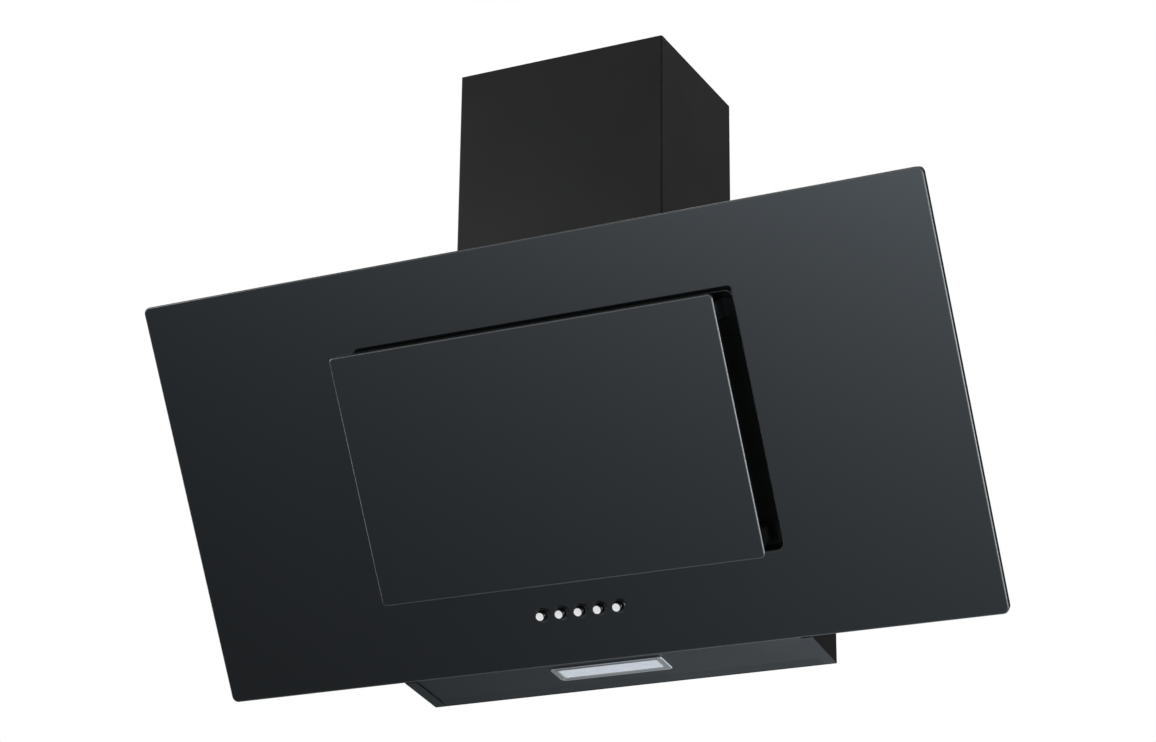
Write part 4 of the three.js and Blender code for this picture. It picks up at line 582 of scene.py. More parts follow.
def rounded_rectangle(width: float, length: float, radius: float, x: float = 0.0, y: float = 0.0,
                      steps: int = 10) -> list[Point]:
    """Returns the points of a rectangle with rounded corners, anticlockwise."""
    points = []
    a, b = width / 2 - radius, length / 2 - radius
    for quarter, (sx, sy) in enumerate(((1, 1), (-1, 1), (-1, -1), (1, -1))):
        for i in range(steps + 1):
            angle = math.pi / 2 * (quarter + i / steps)
            points.append((x + sx * a + radius * math.cos(angle),
                           y + sy * b + radius * math.sin(angle)))
    return points


def circle(diameter: float, x: float = 0.0, y: float = 0.0, steps: int = 48) -> list[Point]:
    """Returns the points of a circle, anticlockwise."""
    return [(x + diameter / 2 * math.cos(math.tau * i / steps),
             y + diameter / 2 * math.sin(math.tau * i / steps)) for i in range(steps)]


def at_height(outline: Iterable[Point], z: float) -> list[Vector]:
    """Lifts an outline to a height."""
    return [Vector((x, y, z)) for x, y in outline]


def rounded_profile(corners: Sequence[Triple], steps: int = 4) -> list[Point]:
    """Rounds the corners of a closed profile.

    Args:
        corners: Radius, height and rounding of each corner.
        steps: Steps in each rounding.

    Returns:
        The points of the rounded profile.
    """
    points: list[Point] = []
    for k, (x, z, rounding) in enumerate(corners):
        here = Vector((x, z))
        if rounding <= 0:
            points.append((x, z))
            continue
        before = (Vector(corners[k - 1][:2]) - here).normalized()
        after = (Vector(corners[(k + 1) % len(corners)][:2]) - here).normalized()
        half = before.angle(after) / 2
        start, end = (here + way * rounding / math.tan(half) for way in (before, after))
        centre = here + (before + after).normalized() * rounding / math.sin(half)
        u, v = start - centre, end - centre
        sweep = u.angle(v)
        for i in range(steps + 1):
            t = i / steps
            at = centre + (u * math.sin((1 - t) * sweep) + v * math.sin(t * sweep)) / math.sin(sweep)
            points.append((at.x, at.y))
    return points


# --- meshes


def new_object(name: str, data: bpy.types.ID) -> Object:
    """Puts a mesh, curve, lamp or camera into the scene as an object."""
    obj = bpy.data.objects.new(name, data)
    bpy.context.scene.collection.objects.link(obj)
    return obj


def evaluated_mesh(obj: Object) -> Mesh:
    """Returns an object's mesh with its modifiers applied, and removes the object."""
    depsgraph = bpy.context.evaluated_depsgraph_get()
    mesh = bpy.data.meshes.new_from_object(obj.evaluated_get(depsgraph), depsgraph=depsgraph)
    bpy.data.objects.remove(obj)
    return mesh


def modified(mesh: Mesh, kind: str, **settings: Any) -> Mesh:
    """Returns a mesh as one modifier with the given settings changes it."""
    holder = new_object("holder", mesh)
    modifier = holder.modifiers.new(kind.lower(), kind)
    for name, value in settings.items():
        setattr(modifier, name, value)
    return evaluated_mesh(holder)


def through_tree(mesh: Mesh, build: Callable[[], Tree], look: Look, values: dict[str, Any]) -> Mesh:
    """Runs a mesh through a geometry tree.

    Args:
        mesh: The mesh that the tree takes.
        build: The function that builds the tree.
        look: Finish of the result.
        values: The tree's sizes, by name.

    Returns:
        The result as a plain mesh.
    """
    holder = new_object("holder", mesh)
    nodes = holder.modifiers.new("tree", "NODES")
    nodes.node_group = build()
    given = {**values, "Finish": look.value.material()}
    for item in nodes.node_group.interface.items_tree:
        if item.in_out == "INPUT" and item.name in given:
            nodes[item.identifier] = given[item.name]
    return evaluated_mesh(holder)


def opened(*meshes: Mesh) -> bmesh.types.BMesh:
    """Returns the given meshes as one that can be edited."""
    made = bmesh.new()
    for mesh in meshes:
        made.from_mesh(mesh)
    return made


def closed(made: bmesh.types.BMesh, mesh: Optional[Mesh] = None) -> Mesh:
    """Writes an edited mesh into a mesh, or into a new one, and returns that."""
    mesh = mesh or bpy.data.meshes.new("built")
    made.to_mesh(mesh)
    made.free()
    return mesh


def cleaned(mesh: Mesh, flat: float = 0.0, outward: bool = True) -> Mesh:
    """Merges a mesh's doubled points.

    Args:
        mesh: The mesh, which is changed.
        flat: Degrees below which faces are joined, or 0 to join none.
        outward: True if its faces are turned outwards.

    Returns:
        The same mesh.
    """
    made = opened(mesh)
    bmesh.ops.remove_doubles(made, verts=made.verts, dist=1e-6)
    if outward:
        bmesh.ops.recalc_face_normals(made, faces=made.faces)
    if flat:
        bmesh.ops.dissolve_limit(made, angle_limit=math.radians(flat), verts=made.verts,
                                 edges=made.edges)
    return closed(made, mesh)


def soft_edged(mesh: Mesh, edge: float, angle: float) -> Mesh:
    """Rounds the edges of a mesh that are sharper than an angle in degrees."""
    return modified(mesh, "BEVEL", width=edge, segments=2, limit_method="ANGLE",
                    angle_limit=math.radians(angle))


def shaded(name: str, mesh: Mesh, sharp: float) -> Object:
    """Makes the finished object: round faces shade smoothly and large flat ones stay flat.

    Args:
        name: Name of the piece.
        mesh: Its mesh, in the hood's frame.
        sharp: Angle in degrees above which an edge stays sharp.

    Returns:
        The object, at the origin.
    """
    mesh.polygons.foreach_set("use_smooth", [True] * len(mesh.polygons))
    mesh.set_sharp_from_angle(angle=math.radians(sharp))
    done = modified(mesh, "WEIGHTED_NORMAL", keep_sharp=True, weight=90)
    done.name = name
    return new_object(name, done)


def pane_mesh(outer: list[Point], holes: Sequence[list[Point]], z0: float, z1: float,
              edge: float) -> Mesh:
    """Builds a flat sheet with ground edges and holes from a filled curve.

    Args:
        outer: Outline of the sheet.
        holes: Outlines of its holes.
        z0: Lower face.
        z1: Upper face.
        edge: Width of the ground edge, which has three facets.

    Returns:
        The sheet as a closed mesh.
    """
    curve = bpy.data.curves.new("outline", "CURVE")
    curve.dimensions = "2D"
    curve.fill_mode = "BOTH"
    curve.bevel_depth = edge
    curve.bevel_resolution = 2
    curve.offset = -edge
    curve.extrude = (z1 - z0) / 2 - edge
    for outline in (outer, *holes):
        spline = curve.splines.new("POLY")
        spline.points.add(len(outline) - 1)
        for point, (x, y) in zip(spline.points, outline):
            point.co = (x, y, 0.0, 1.0)
        spline.use_cyclic_u = True
    mesh = evaluated_mesh(new_object("outline", curve))
    mesh.transform(Matrix.Translation((0, 0, (z0 + z1) / 2)))
    return mesh


def turned_mesh(profile: Sequence[Point], x: float = 0.0, y: float = 0.0, steps: int = 48) -> Mesh:
    """Builds a body of revolution round local Z from a closed profile of radius and height."""
    made = bmesh.new()
    rows = []
    for radius, height in profile:
        if radius < 1e-6:
            rows.append([made.verts.new((x, y, height))] * steps)
        else:
            ring = at_height(circle(2 * radius, x, y, steps), height)
            rows.append([made.verts.new(p) for p in ring])
    for a, b in zip(rows, rows[1:] + rows[:1]):
        for i in range(steps):
            j = (i + 1) % steps
            corners = list(dict.fromkeys((a[i], a[j], b[j], b[i])))
            if len(corners) > 2:
                made.faces.new(corners)
    return closed(made)


def lofted_mesh(rings: Iterable[Sequence[Vector]], looped: bool = False) -> Mesh:
    """Builds a skin through rings with the same number of points.

    Args:
        rings: The rings, in order.
        looped: True if the last ring joins the first; otherwise the ends are capped.

    Returns:
        The skin as a closed mesh.
    """
    made = bmesh.new()
    rows = [[made.verts.new(p) for p in ring] for ring in rings]
    for a, b in list(zip(rows, rows[1:])) + ([(rows[-1], rows[0])] if looped else []):
        for i in range(len(a)):
            j = (i + 1) % len(a)
            made.faces.new((a[i], a[j], b[j], b[i]))
    if not looped:
        made.faces.new(rows[0])
        made.faces.new(rows[-1])
    return closed(made)


def folded_mesh(path: Sequence[Point], thickness: float, z0: float, z1: float) -> Mesh:
    """Builds a strip of sheet that follows a path seen from above.

    Args:
        path: Middle line of the sheet.
        thickness: Thickness of the sheet.
        z0: Lower edge.
        z1: Upper edge.

    Returns:
        The sheet as a closed mesh.
    """
    points = [Vector(p) for p in path]
    sides: tuple[list[Vector], list[Vector]] = ([], [])
    for i, point in enumerate(points):
        ahead = (points[min(i + 1, len(points) - 1)] - points[max(i - 1, 0)]).normalized()
        out = Vector((-ahead.y, ahead.x)) * thickness / 2
        sides[0].append(point + out)
        sides[1].append(point - out)
    return lofted_mesh([at_height(sides[0] + sides[1][::-1], z) for z in (z0, z1)])


def cut_mesh(mesh: Mesh, cutter: Mesh) -> Mesh:
    """Cuts one mesh out of another."""
    tool = new_object("tool", cleaned(cutter))
    done = modified(cleaned(mesh), "BOOLEAN", operation="DIFFERENCE", solver="EXACT",
                    use_self=True, object=tool)
    bpy.data.objects.remove(tool)
    return done


# --- pieces


def finished(obj: Object, body: str, look: Look, slot: str, *nodes: str) -> Object:
    """Dresses a new piece, lets it ride on its body and hides the solids that it replaces.

    Args:
        obj: The piece.
        body: The body that it moves with.
        look: Its finish.
        slot: The record's slot of that finish; not used.
        nodes: The solids that it replaces.

    Returns:
        The piece.
    """
    look.on(obj)
    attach(obj, body)
    if nodes:
        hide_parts(*nodes)
    log.info("%s: %d faces, on %s", obj.name, len(obj.data.polygons), body)
    return obj


def piece(name: str, mesh: Mesh, plane: Plane, body: str, look: Look, *nodes: str,
          sharp: float = 35.0, flat: float = 0.0) -> Object:
    """Turns a mesh in millimetres on a plane into a finished piece of the hood.

    Args:
        name: Name of the piece.
        mesh: The mesh, which is changed.
        plane: The plane that it is drawn in.
        body: The body that it moves with.
        look: Its finish.
        nodes: The solids that it replaces.
        sharp: Angle in degrees above which an edge stays sharp.
        flat: Degrees below which faces are joined, or 0 to join none.

    Returns:
        The piece, at the origin, with its place in its mesh.
    """
    mesh.transform(plane.matrix())
    return finished(shaded(name, cleaned(mesh, flat), sharp), body, look, LOOK_SLOTS[look], *nodes)


def softened(edge: float, *nodes: str, look: Optional[Look] = None) -> None:
    """Replaces solids of folded sheet or moulding with copies whose edges are rounded.

    Args:
        edge: Radius of the rounding in millimetres.
        nodes: The solids.
        look: Their finish, if it isn't that of their slot.
    """
    for node in nodes:
        mesh = cleaned(frame["nodes"][node].data.copy(), SOLID_FLAT_ANGLE, outward=False)
        shell = shaded(f"{node}_shell", soft_edged(mesh, edge * MM, SOFT_ANGLE), SOFT_ANGLE)
        slot = NODE_SLOTS[node]
        finished(shell, NODE_BODIES[node], look or SLOT_LOOKS[slot], slot, node)


def on_wall(node: str) -> tuple[Vector, Vector]:
    """Returns the lowest and highest corner of a solid on the wall's plane, in millimetres."""
    low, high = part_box(node)
    return Vector((low.x, low.z, -high.y)) / MM, Vector((high.x, high.z, -low.y)) / MM


# --- push buttons


@dataclass
class PushButtons:
    """Five round push buttons in glossy bezels: light bare caps on black stems."""

    count: int = 5
    pitch: float = 22.2
    middle: float = -7.0
    rise: float = 56.5
    diameter: float = 9.8
    proud: float = 9.0
    cap: float = 0.5
    cap_inset: float = 0.55
    waist: float = 4.6
    waist_depth: float = 0.5
    clearance: float = 0.35
    bezel: float = 15.0
    bezel_proud: float = 1.6
    bezel_chamfer: float = 0.8
    tube: float = 12.7
    tube_foot: float = -8.0
    stem_foot: float = -18.3

    def x(self, i: int) -> float:
        """Place of a button in the row."""
        return self.middle + (i - (self.count - 1) / 2) * self.pitch

    def build(self) -> None:
        """Builds the bezels as one row, and each button on its own body."""
        bore, rim, tube = self.diameter / 2 + self.clearance, self.bezel / 2, self.tube / 2
        top, chamfer = self.bezel_proud, self.bezel_chamfer
        profile = rounded_profile([
            (bore, self.tube_foot, 0.2), (tube, self.tube_foot, 0.2), (tube, 0.3, 0.0), (rim, 0.3, 0.0),
            (rim, top - chamfer, 0.4), (rim - chamfer, top, 0.4), (bore, top, 0.4)])
        row = through_tree(turned_mesh(profile, self.x(0), self.rise), row_tree, Look.GLOSS_PLASTIC, {
            "Count": self.count, "Step": (self.pitch, 0.0, 0.0)})
        piece("button_bezels", row, Plane.SLOPE, "root", Look.GLOSS_PLASTIC,
              *(f"button_bezel_{i + 1}" for i in range(self.count)))
        softened(0.4, "switch_housing")
        for i in range(self.count):
            self.button(i)

    def button(self, i: int) -> None:
        """Builds one button: its stem and the bare cap on it.

        Args:
            i: Number of the button, from the left.
        """
        radius, top = self.diameter / 2, self.proud
        foot, sunk = top - self.cap, top - 0.1
        waist, edge, tip = radius - self.waist_depth, radius - self.cap_inset, radius - 0.4
        stem = [
            (0.0, self.stem_foot, 0.0), (tip, self.stem_foot, 0.4), (tip, 2.0, 0.0), (radius, 2.6, 0.3),
            (radius, self.waist, 0.0), (waist, self.waist + self.waist_depth, 0.0),
            (waist, foot - 1.9, 0.0), (radius, foot - 1.5, 0.1), (radius, foot - 0.4, 0.1),
            (tip, foot, 0.1), (0.0, foot, 0.0)]
        cap = [(0.0, foot - 0.1, 0.0), (edge, foot - 0.1, 0.0), (edge, sunk, 0.3),
               (edge - 0.6, top, 0.2), (0.0, sunk, 0.0)]
        for name, profile, look, sharp in (
                ("stem", stem, Look.GLOSS_PLASTIC, 35.0), ("cap", cap, Look.CAP, 50.0)):
            mesh = turned_mesh(rounded_profile(profile), self.x(i), self.rise)
            piece(f"button_{name}_{i + 1}", mesh, Plane.SLOPE, f"button_{i + 1}", look,
                  f"push_button_{i + 1}", sharp=sharp)


# --- glass


@dataclass
class GlassFront:
    """The leaning glass, the sheet tray behind it and the flap in front of its opening."""

    width: float = 900.0
    length: float = 452.0
    thickness: float = 4.0
    corner: float = 7.0
    edge: float = 1.4
    opening_width: float = 460.2
    opening_length: float = 269.8
    opening_corner: float = 8.0
    opening_foot: float = 93.4
    flap_width: float = 441.0
    flap_length: float = 273.0
    flap_corner: float = 5.0
    flap_foot: float = 93.0
    standoff: float = 30.6
    button_hole: float = 13.3

    def build(self) -> None:
        """Builds both panes and softens the trays behind them."""
        buttons = PushButtons()
        holes = [circle(self.button_hole, buttons.x(i), buttons.rise) for i in range(buttons.count)]
        opening = rounded_rectangle(self.opening_width, self.opening_length, self.opening_corner,
                                    0.0, self.opening_foot + self.opening_length / 2)
        outline = rounded_rectangle(self.width, self.length, self.corner, 0.0, self.length / 2)
        flap = rounded_rectangle(self.flap_width, self.flap_length, self.flap_corner,
                                 0.0, self.flap_foot + self.flap_length / 2)
        self.pane("glass_pane", "root", outline, [opening, *holes], 0.0, "front_glass")
        self.pane("flap_pane", "flap", flap, [], self.standoff, "flap_glass")
        softened(0.3, "glass_tray", "flap_tray", look=Look.PRIMER)

    def pane(self, name: str, body: str, outline: list[Point], holes: list[list[Point]], face: float,
             node: str) -> None:
        """Builds a pane: its ground edges are polished, and its faces and sides are black.

        Args:
            name: Name of the piece.
            body: Body that it rides on.
            outline: Its outline on the slope.
            holes: Outlines of its holes.
            face: Height of its front face.
            node: The solid that it replaces.
        """
        mesh = pane_mesh(outline, holes, face - self.thickness, face, self.edge)
        pane = piece(name, mesh, Plane.SLOPE, body, Look.GLASS, node, flat=FLAT_ANGLE)
        Look.EDGE.also_on(pane)
        out = (Plane.SLOPE.matrix().to_3x3() @ Vector((0.0, 0.0, 1.0))).normalized()
        for face in pane.data.polygons:
            face.material_index = int(0.15 < abs(face.normal.dot(out)) < 0.98)


# --- flap hinges and catches


@dataclass
class FlapFittings:
    """Hinge arms, brackets and pins, and the magnet catches, on both sides of the flap."""

    edge: float = 0.25

    def build(self) -> None:
        """Softens each fitting."""
        for side in ("left", "right"):
            softened(self.edge, *(f"{fitting}_{side}" for fitting in (
                "hinge_arm", "hinge_bracket", "hinge_pin", "catch_magnet")))
            softened(self.edge, f"catch_plate_{side}", f"catch_post_{side}", look=Look.PRIMER)


# --- lamp


@dataclass
class Lamp:
    """The lamp in the underside: a brushed bezel, a frosted cover, and a board of light diodes."""

    length: float = 131.0
    width: float = 33.5
    corner: float = 5.0
    from_wall: float = 49.0
    face: float = -0.3
    seat: float = 1.2
    rounding: float = 0.55
    window: Point = (115.0, 20.5)
    bore: Point = (120.0, 22.5)
    polished: float = 2.0
    grooves: Point = (4.0, 7.8)
    groove_depth: float = 0.5
    collar: float = 1.2
    collar_top: float = 8.7
    cover: float = 2.0
    diodes: int = 6
    diode: float = 5.0

    def ring(self, length: float, width: float, radius: float, z: float) -> list[Vector]:
        """Returns a rounded rectangle round the middle of the lamp."""
        return at_height(rounded_rectangle(length, width, radius, 0.0, -self.from_wall), z)

    def build(self) -> None:
        """Builds the bezel, the cover and the board."""
        self.build_bezel()
        self.build_cover()
        softened(0.4, "lamp_housing")
        self.build_diodes()

    def build_bezel(self) -> None:
        """Builds the bezel with its polished rim and its grooves. Its front side carries painted shade:
        the grooves and the slope into the window there are gloss black.
        """
        (a, b), (c, d) = self.window, self.bore
        wall, face, top = 2 * self.collar, self.face, self.collar_top
        size, r, depth = (self.length, self.width), self.rounding, self.groove_depth
        rings = [(*size, self.corner, self.seat), (*size, self.corner, face + r)]
        for t in (math.radians(k) for k in (30, 60, 90)):
            inward = 2 * r * (1 - math.cos(t))
            rings.append((size[0] - inward, size[1] - inward, self.corner,
                          face + r - r * math.sin(t)))
        for start in self.grooves:
            for step, sunk in ((0.0, 0.0), (0.2, depth), (1.4, depth), (1.6, 0.0)):
                inward = start + step
                rings.append((size[0] - inward, size[1] - inward, self.corner - inward / 2,
                              face + sunk))
        rings += [(a + 1.6, b + 1.6, 2.6, face), (a + 0.8, b + 0.8, 2.3, face + 0.12),
                  (a, b, 2.0, face + 0.7), (a, b, 2.0, face + 1.2), (c, d, 2.0, face + 1.2),
                  (c, d, 2.0, top), (c + wall, d + wall, 3.0, top),
                  (c + wall, d + wall, 3.0, self.seat)]
        bezel = piece("lamp_frame", lofted_mesh([self.ring(*row) for row in rings], looped=True),
                      Plane.UNDERSIDE, "root", Look.BRUSHED, "lamp_bezel", sharp=30.0)
        Look.CHROME.also_on(bezel)
        Look.GLOSS_PLASTIC.also_on(bezel)
        flat = Plane.UNDERSIDE.matrix().inverted()
        for side in bezel.data.polygons:
            middle = flat @ side.center
            x, y = abs(middle.x), middle.y + self.from_wall
            # painted shade: the sunk faces on the front side only, meaning the grooves and the slope
            # into the window, get gloss black plastic as if in shadow
            painted_shade_strip = y < -b / 2 and x < a / 2 and face + 0.05 < middle.z < self.seat / 2
            rim = max(x - size[0] / 2, abs(y) - size[1] / 2) > -self.polished
            side.material_index = 2 if painted_shade_strip else int(rim)

    def build_cover(self) -> None:
        """Builds the frosted cover, which stands in the window and rests on the bezel."""
        (a, b), (c, d), face = self.window, self.bore, self.face
        rest = face + 1.3
        rings = ((c - 0.6, d - 0.6, 1.6, rest + self.cover), (c - 0.6, d - 0.6, 1.6, rest),
                 (a - 0.4, b - 0.4, 1.8, rest), (a - 0.4, b - 0.4, 1.8, face + 0.7),
                 (a - 0.8, b - 0.8, 1.6, face + 0.45), (a - 12, b - 12, 1.0, face + 0.35))
        piece("lamp_cover", lofted_mesh([self.ring(*row) for row in rings]), Plane.UNDERSIDE, "root",
              Look.DIFFUSER, "lamp_lens", sharp=50.0)

    def build_diodes(self) -> None:
        """Builds the row of light diodes under the board."""
        under = (Plane.UNDERSIDE.matrix().inverted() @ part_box("lamp_board")[0]).z
        step = self.window[0] / self.diodes
        first = -(self.diodes - 1) / 2 * step
        chip = lofted_mesh([
            at_height(rounded_rectangle(self.diode + grow, self.diode + grow, 0.6, first,
                                        -self.from_wall, 4), under + z)
            for grow, z in ((0.0, 1.2), (0.0, 0.1), (-0.5, -0.1))])
        row = through_tree(chip, row_tree, Look.BOARD, {"Count": self.diodes, "Step": (step, 0.0, 0.0)})
        piece("lamp_diodes", row, Plane.UNDERSIDE, "root", Look.BOARD)


# --- grease filter


@dataclass
class GreaseFilter:
    """The grease filter: a channel frame, two folded sheets of expanded metal and a latch."""

    width: float = 392.0
    length: float = 240.0
    middle: float = 229.5
    back: float = -23.7
    thickness: float = 9.0
    skin: float = 1.0
    cell: Point = (9.0, 6.0)
    strand: float = 0.9
    sheet: float = 0.45
    folds: int = 14
    ribs: int = 5
    rib_length: float = 14.0
    rib_width: float = 1.0
    rib_first: float = 2.6
    rib_step: float = 2.0

    def build(self) -> None:
        """Builds the weave and dresses the frame and the latch."""
        softened(0.3, "filter_frame")
        room = 2 * (self.skin + 1.2)
        seat = self.skin + 1.0
        sizes = {
            "Width": self.width - room, "Length": self.length - room - self.cell[1] / 2,
            "Cell Width": self.cell[0], "Cell Length": self.cell[1], "Strand": self.strand,
            "Sheet": self.sheet, "Fold": self.length / self.folds,
            "Fold Height": self.thickness - 2 * seat}
        sheets = []
        for turn, rise in ((0.0, seat), (math.pi, self.thickness - seat)):
            sheet = through_tree(bpy.data.meshes.new("blank"), weave_tree, Look.ALUMINIUM, sizes)
            sheet.transform(Matrix.Translation((0.0, self.middle, self.back + rise))
                            @ Matrix.Rotation(turn, 4, "X"))
            sheets.append(sheet)
        piece("filter_weave", closed(opened(*sheets)), Plane.SLOPE, "grease_filter", Look.ALUMINIUM,
              "filter_mesh", sharp=60.0)
        softened(0.5, "filter_latch")
        foot, top = self.middle - self.length / 2, self.back + self.thickness
        rib = lofted_mesh([
            at_height(rounded_rectangle(self.rib_length - grow, self.rib_width - grow / 2, 0.3,
                                        0.0, foot + self.rib_first, 3), top + z)
            for grow, z in ((0.0, -0.3), (0.0, 0.5), (0.5, 0.7))])
        ribs = through_tree(rib, row_tree, Look.BLACK_PLASTIC, {
            "Count": self.ribs, "Step": (0.0, self.rib_step, 0.0)})
        piece("latch_ribs", ribs, Plane.SLOPE, "filter_latch", Look.BLACK_PLASTIC)


# --- body


@dataclass
class Body:
    """Shell, bottom panel, recess and roof of folded sheet, and a hem along the wall."""

    edge: float = 0.35
    half_width: float = 234.5
    sheet: float = 1.2
    hem: float = 14.0
    hem_top: float = 1.45

    def build(self) -> None:
        """Softens the folded sheets and closes the slot between the bottom panel and the wall."""
        softened(self.edge, "body_shell", "bottom_panel", "recess_pan", "top_plate")
        section = ((-self.hem, self.hem_top), (-self.sheet, 0.05), (-self.sheet, self.hem_top))
        hem = lofted_mesh([[Vector((side * self.half_width, y, z)) for y, z in section]
                           for side in SIDES])
        piece("rear_hem", hem, Plane.UNDERSIDE, "root", Look.PAINT)


# --- fan


@dataclass
class Fan:
    """The blade wheel with its rings and disc, and the casing and motor round it."""

    blades: int = 27
    eye: float = 156.0
    blade_thickness: float = 1.2
    sweep: float = 8.0
    bow: float = 3.4
    steps: int = 10
    ring_width: float = 2.4
    disc_back: float = 58.1
    disc_thickness: float = 2.0
    hub: float = 28.0
    hub_length: float = 16.0
    bore: float = 8.6

    def build(self) -> None:
        """Builds the wheel and softens the rest."""
        low, high = on_wall("impeller")
        x, y, rim = (low.x + high.x) / 2, (low.y + high.y) / 2, (high.x - low.x) / 2
        root = Vector((self.eye / 2, 0.0))
        turn = math.radians(self.sweep)
        along = Vector((math.cos(turn), math.sin(turn))) * (rim - 0.5) - root
        across = Vector((along.y, -along.x)).normalized()
        line = [tuple(root + along * t + across * self.bow * 4 * t * (1 - t))
                for t in (i / self.steps for i in range(self.steps + 1))]
        blade = folded_mesh(line, self.blade_thickness, low.z + 1, high.z - 1)
        ring = through_tree(blade, ring_tree, Look.GREY_PLASTIC, {
            "Count": self.blades, "Centre": (x, y, 0.0)})
        piece("wheel_blades", ring, Plane.WALL, "fan_wheel", Look.GREY_PLASTIC, "impeller")
        inner = self.eye / 2 - 1
        hoops = [turned_mesh(rounded_profile([
            (inner, z, 0.5), (rim, z, 0.5), (rim, z + self.ring_width, 0.5),
            (inner, z + self.ring_width, 0.5)], 3), x, y, 96)
            for z in (low.z, high.z - self.ring_width)]
        back = self.disc_back
        front, end = back + self.disc_thickness, back + self.hub_length
        hub = turned_mesh(rounded_profile([
            (self.bore / 2, back, 0.2), (self.eye / 2 + 1, back, 0.4), (self.eye / 2 + 1, front, 0.4),
            (self.hub / 2, front, 3.0), (self.hub / 2 - 2, end, 1.0), (self.bore / 2, end, 0.3)]),
            x, y, 96)
        piece("wheel_disc", closed(opened(*hoops, hub)), Plane.WALL, "fan_wheel", Look.GREY_PLASTIC,
              "impeller")
        softened(0.3, "scroll_case", "scroll_cover", "motor", "motor_shaft", "impeller_nut")


# --- outlet


@dataclass
class Outlet:
    """The moulded adapter from the fan's rectangle to the round duct, with its damper flaps."""

    half_outlet: float = 44.735
    outlet_back: float = 5.8
    outlet_front: float = 101.9
    duct: float = 150.0
    wall: float = 2.0
    middle: float = 96.0
    flange: float = 11.0
    flange_back: float = 1.5
    flange_corner: float = 6.0
    rise: float = 46.0
    spigot: float = 44.0
    bead: float = 1.8
    bead_below_top: float = 9.0
    around: int = 96
    levels: int = 12

    def ring(self, share: float, height: float, grow: float) -> list[Vector]:
        """A ring between the rectangle of the outlet and the circle of the duct.

        Args:
            share: 0 at the rectangle and 1 at the circle.
            height: Height of the ring.
            grow: How far it lies outside the inner wall.

        Returns:
            Its points in the wall's plane.
        """
        half = (self.half_outlet + grow, (self.outlet_front - self.outlet_back) / 2 + grow)
        middle = (self.outlet_front + self.outlet_back) / 2
        radius = self.duct / 2 - self.wall + grow
        blend = share * share * (3 - 2 * share)
        points = []
        for i in range(self.around):
            angle = -math.tau * (i + 0.5) / self.around
            c, s = math.cos(angle), math.sin(angle)
            reach = min(half[0] / abs(c), half[1] / abs(s))
            box = Vector((c * reach, height, middle + s * reach))
            points.append(box.lerp(Vector((c * radius, height, self.middle + s * radius)), blend))
        return points

    def build(self) -> None:
        """Builds the adapter and softens the dampers and their pin."""
        base = on_wall("outlet_adapter")[0].y
        top = base + self.rise + self.spigot
        bead = top - self.bead_below_top
        shares = [k / self.levels for k in range(self.levels + 1)]
        swell = (math.pi * (1 - k / 6) for k in range(7))
        outer = [(share, base + self.rise * share, self.wall) for share in shares]
        outer += [(1.0, bead + self.bead * math.cos(t), self.wall + self.bead * math.sin(t) * 0.9)
                  for t in swell]
        outer += [(1.0, top - 0.6, self.wall), (1.0, top, self.wall - 0.5)]
        inner = [(1.0, top, 0.4), (1.0, top - 0.6, 0.0)]
        inner += [(share, base + self.rise * share, 0.0) for share in reversed(shares)]
        skin = lofted_mesh([self.ring(*row) for row in outer + inner], looped=True)
        piece("duct_adapter", skin, Plane.WALL, "root", Look.GREY_PLASTIC, "outlet_adapter", sharp=50.0)
        near, far = self.flange_back, self.outlet_front + self.flange
        plate = pane_mesh(
            rounded_rectangle(2 * (self.half_outlet + self.flange), far - near, self.flange_corner,
                              0.0, -(far + near) / 2),
            [rounded_rectangle(2 * self.half_outlet + 1, self.outlet_front - self.outlet_back + 1, 2.0,
                               0.0, -(self.outlet_front + self.outlet_back) / 2)],
            base, base + self.wall, 0.3)
        piece("adapter_flange", plate, Plane.ROOM, "root", Look.GREY_PLASTIC, "outlet_adapter",
              flat=FLAT_ANGLE)
        softened(0.2, "damper_pin", "damper_flap_left", "damper_flap_right", "cable_gland")


# --- chimney


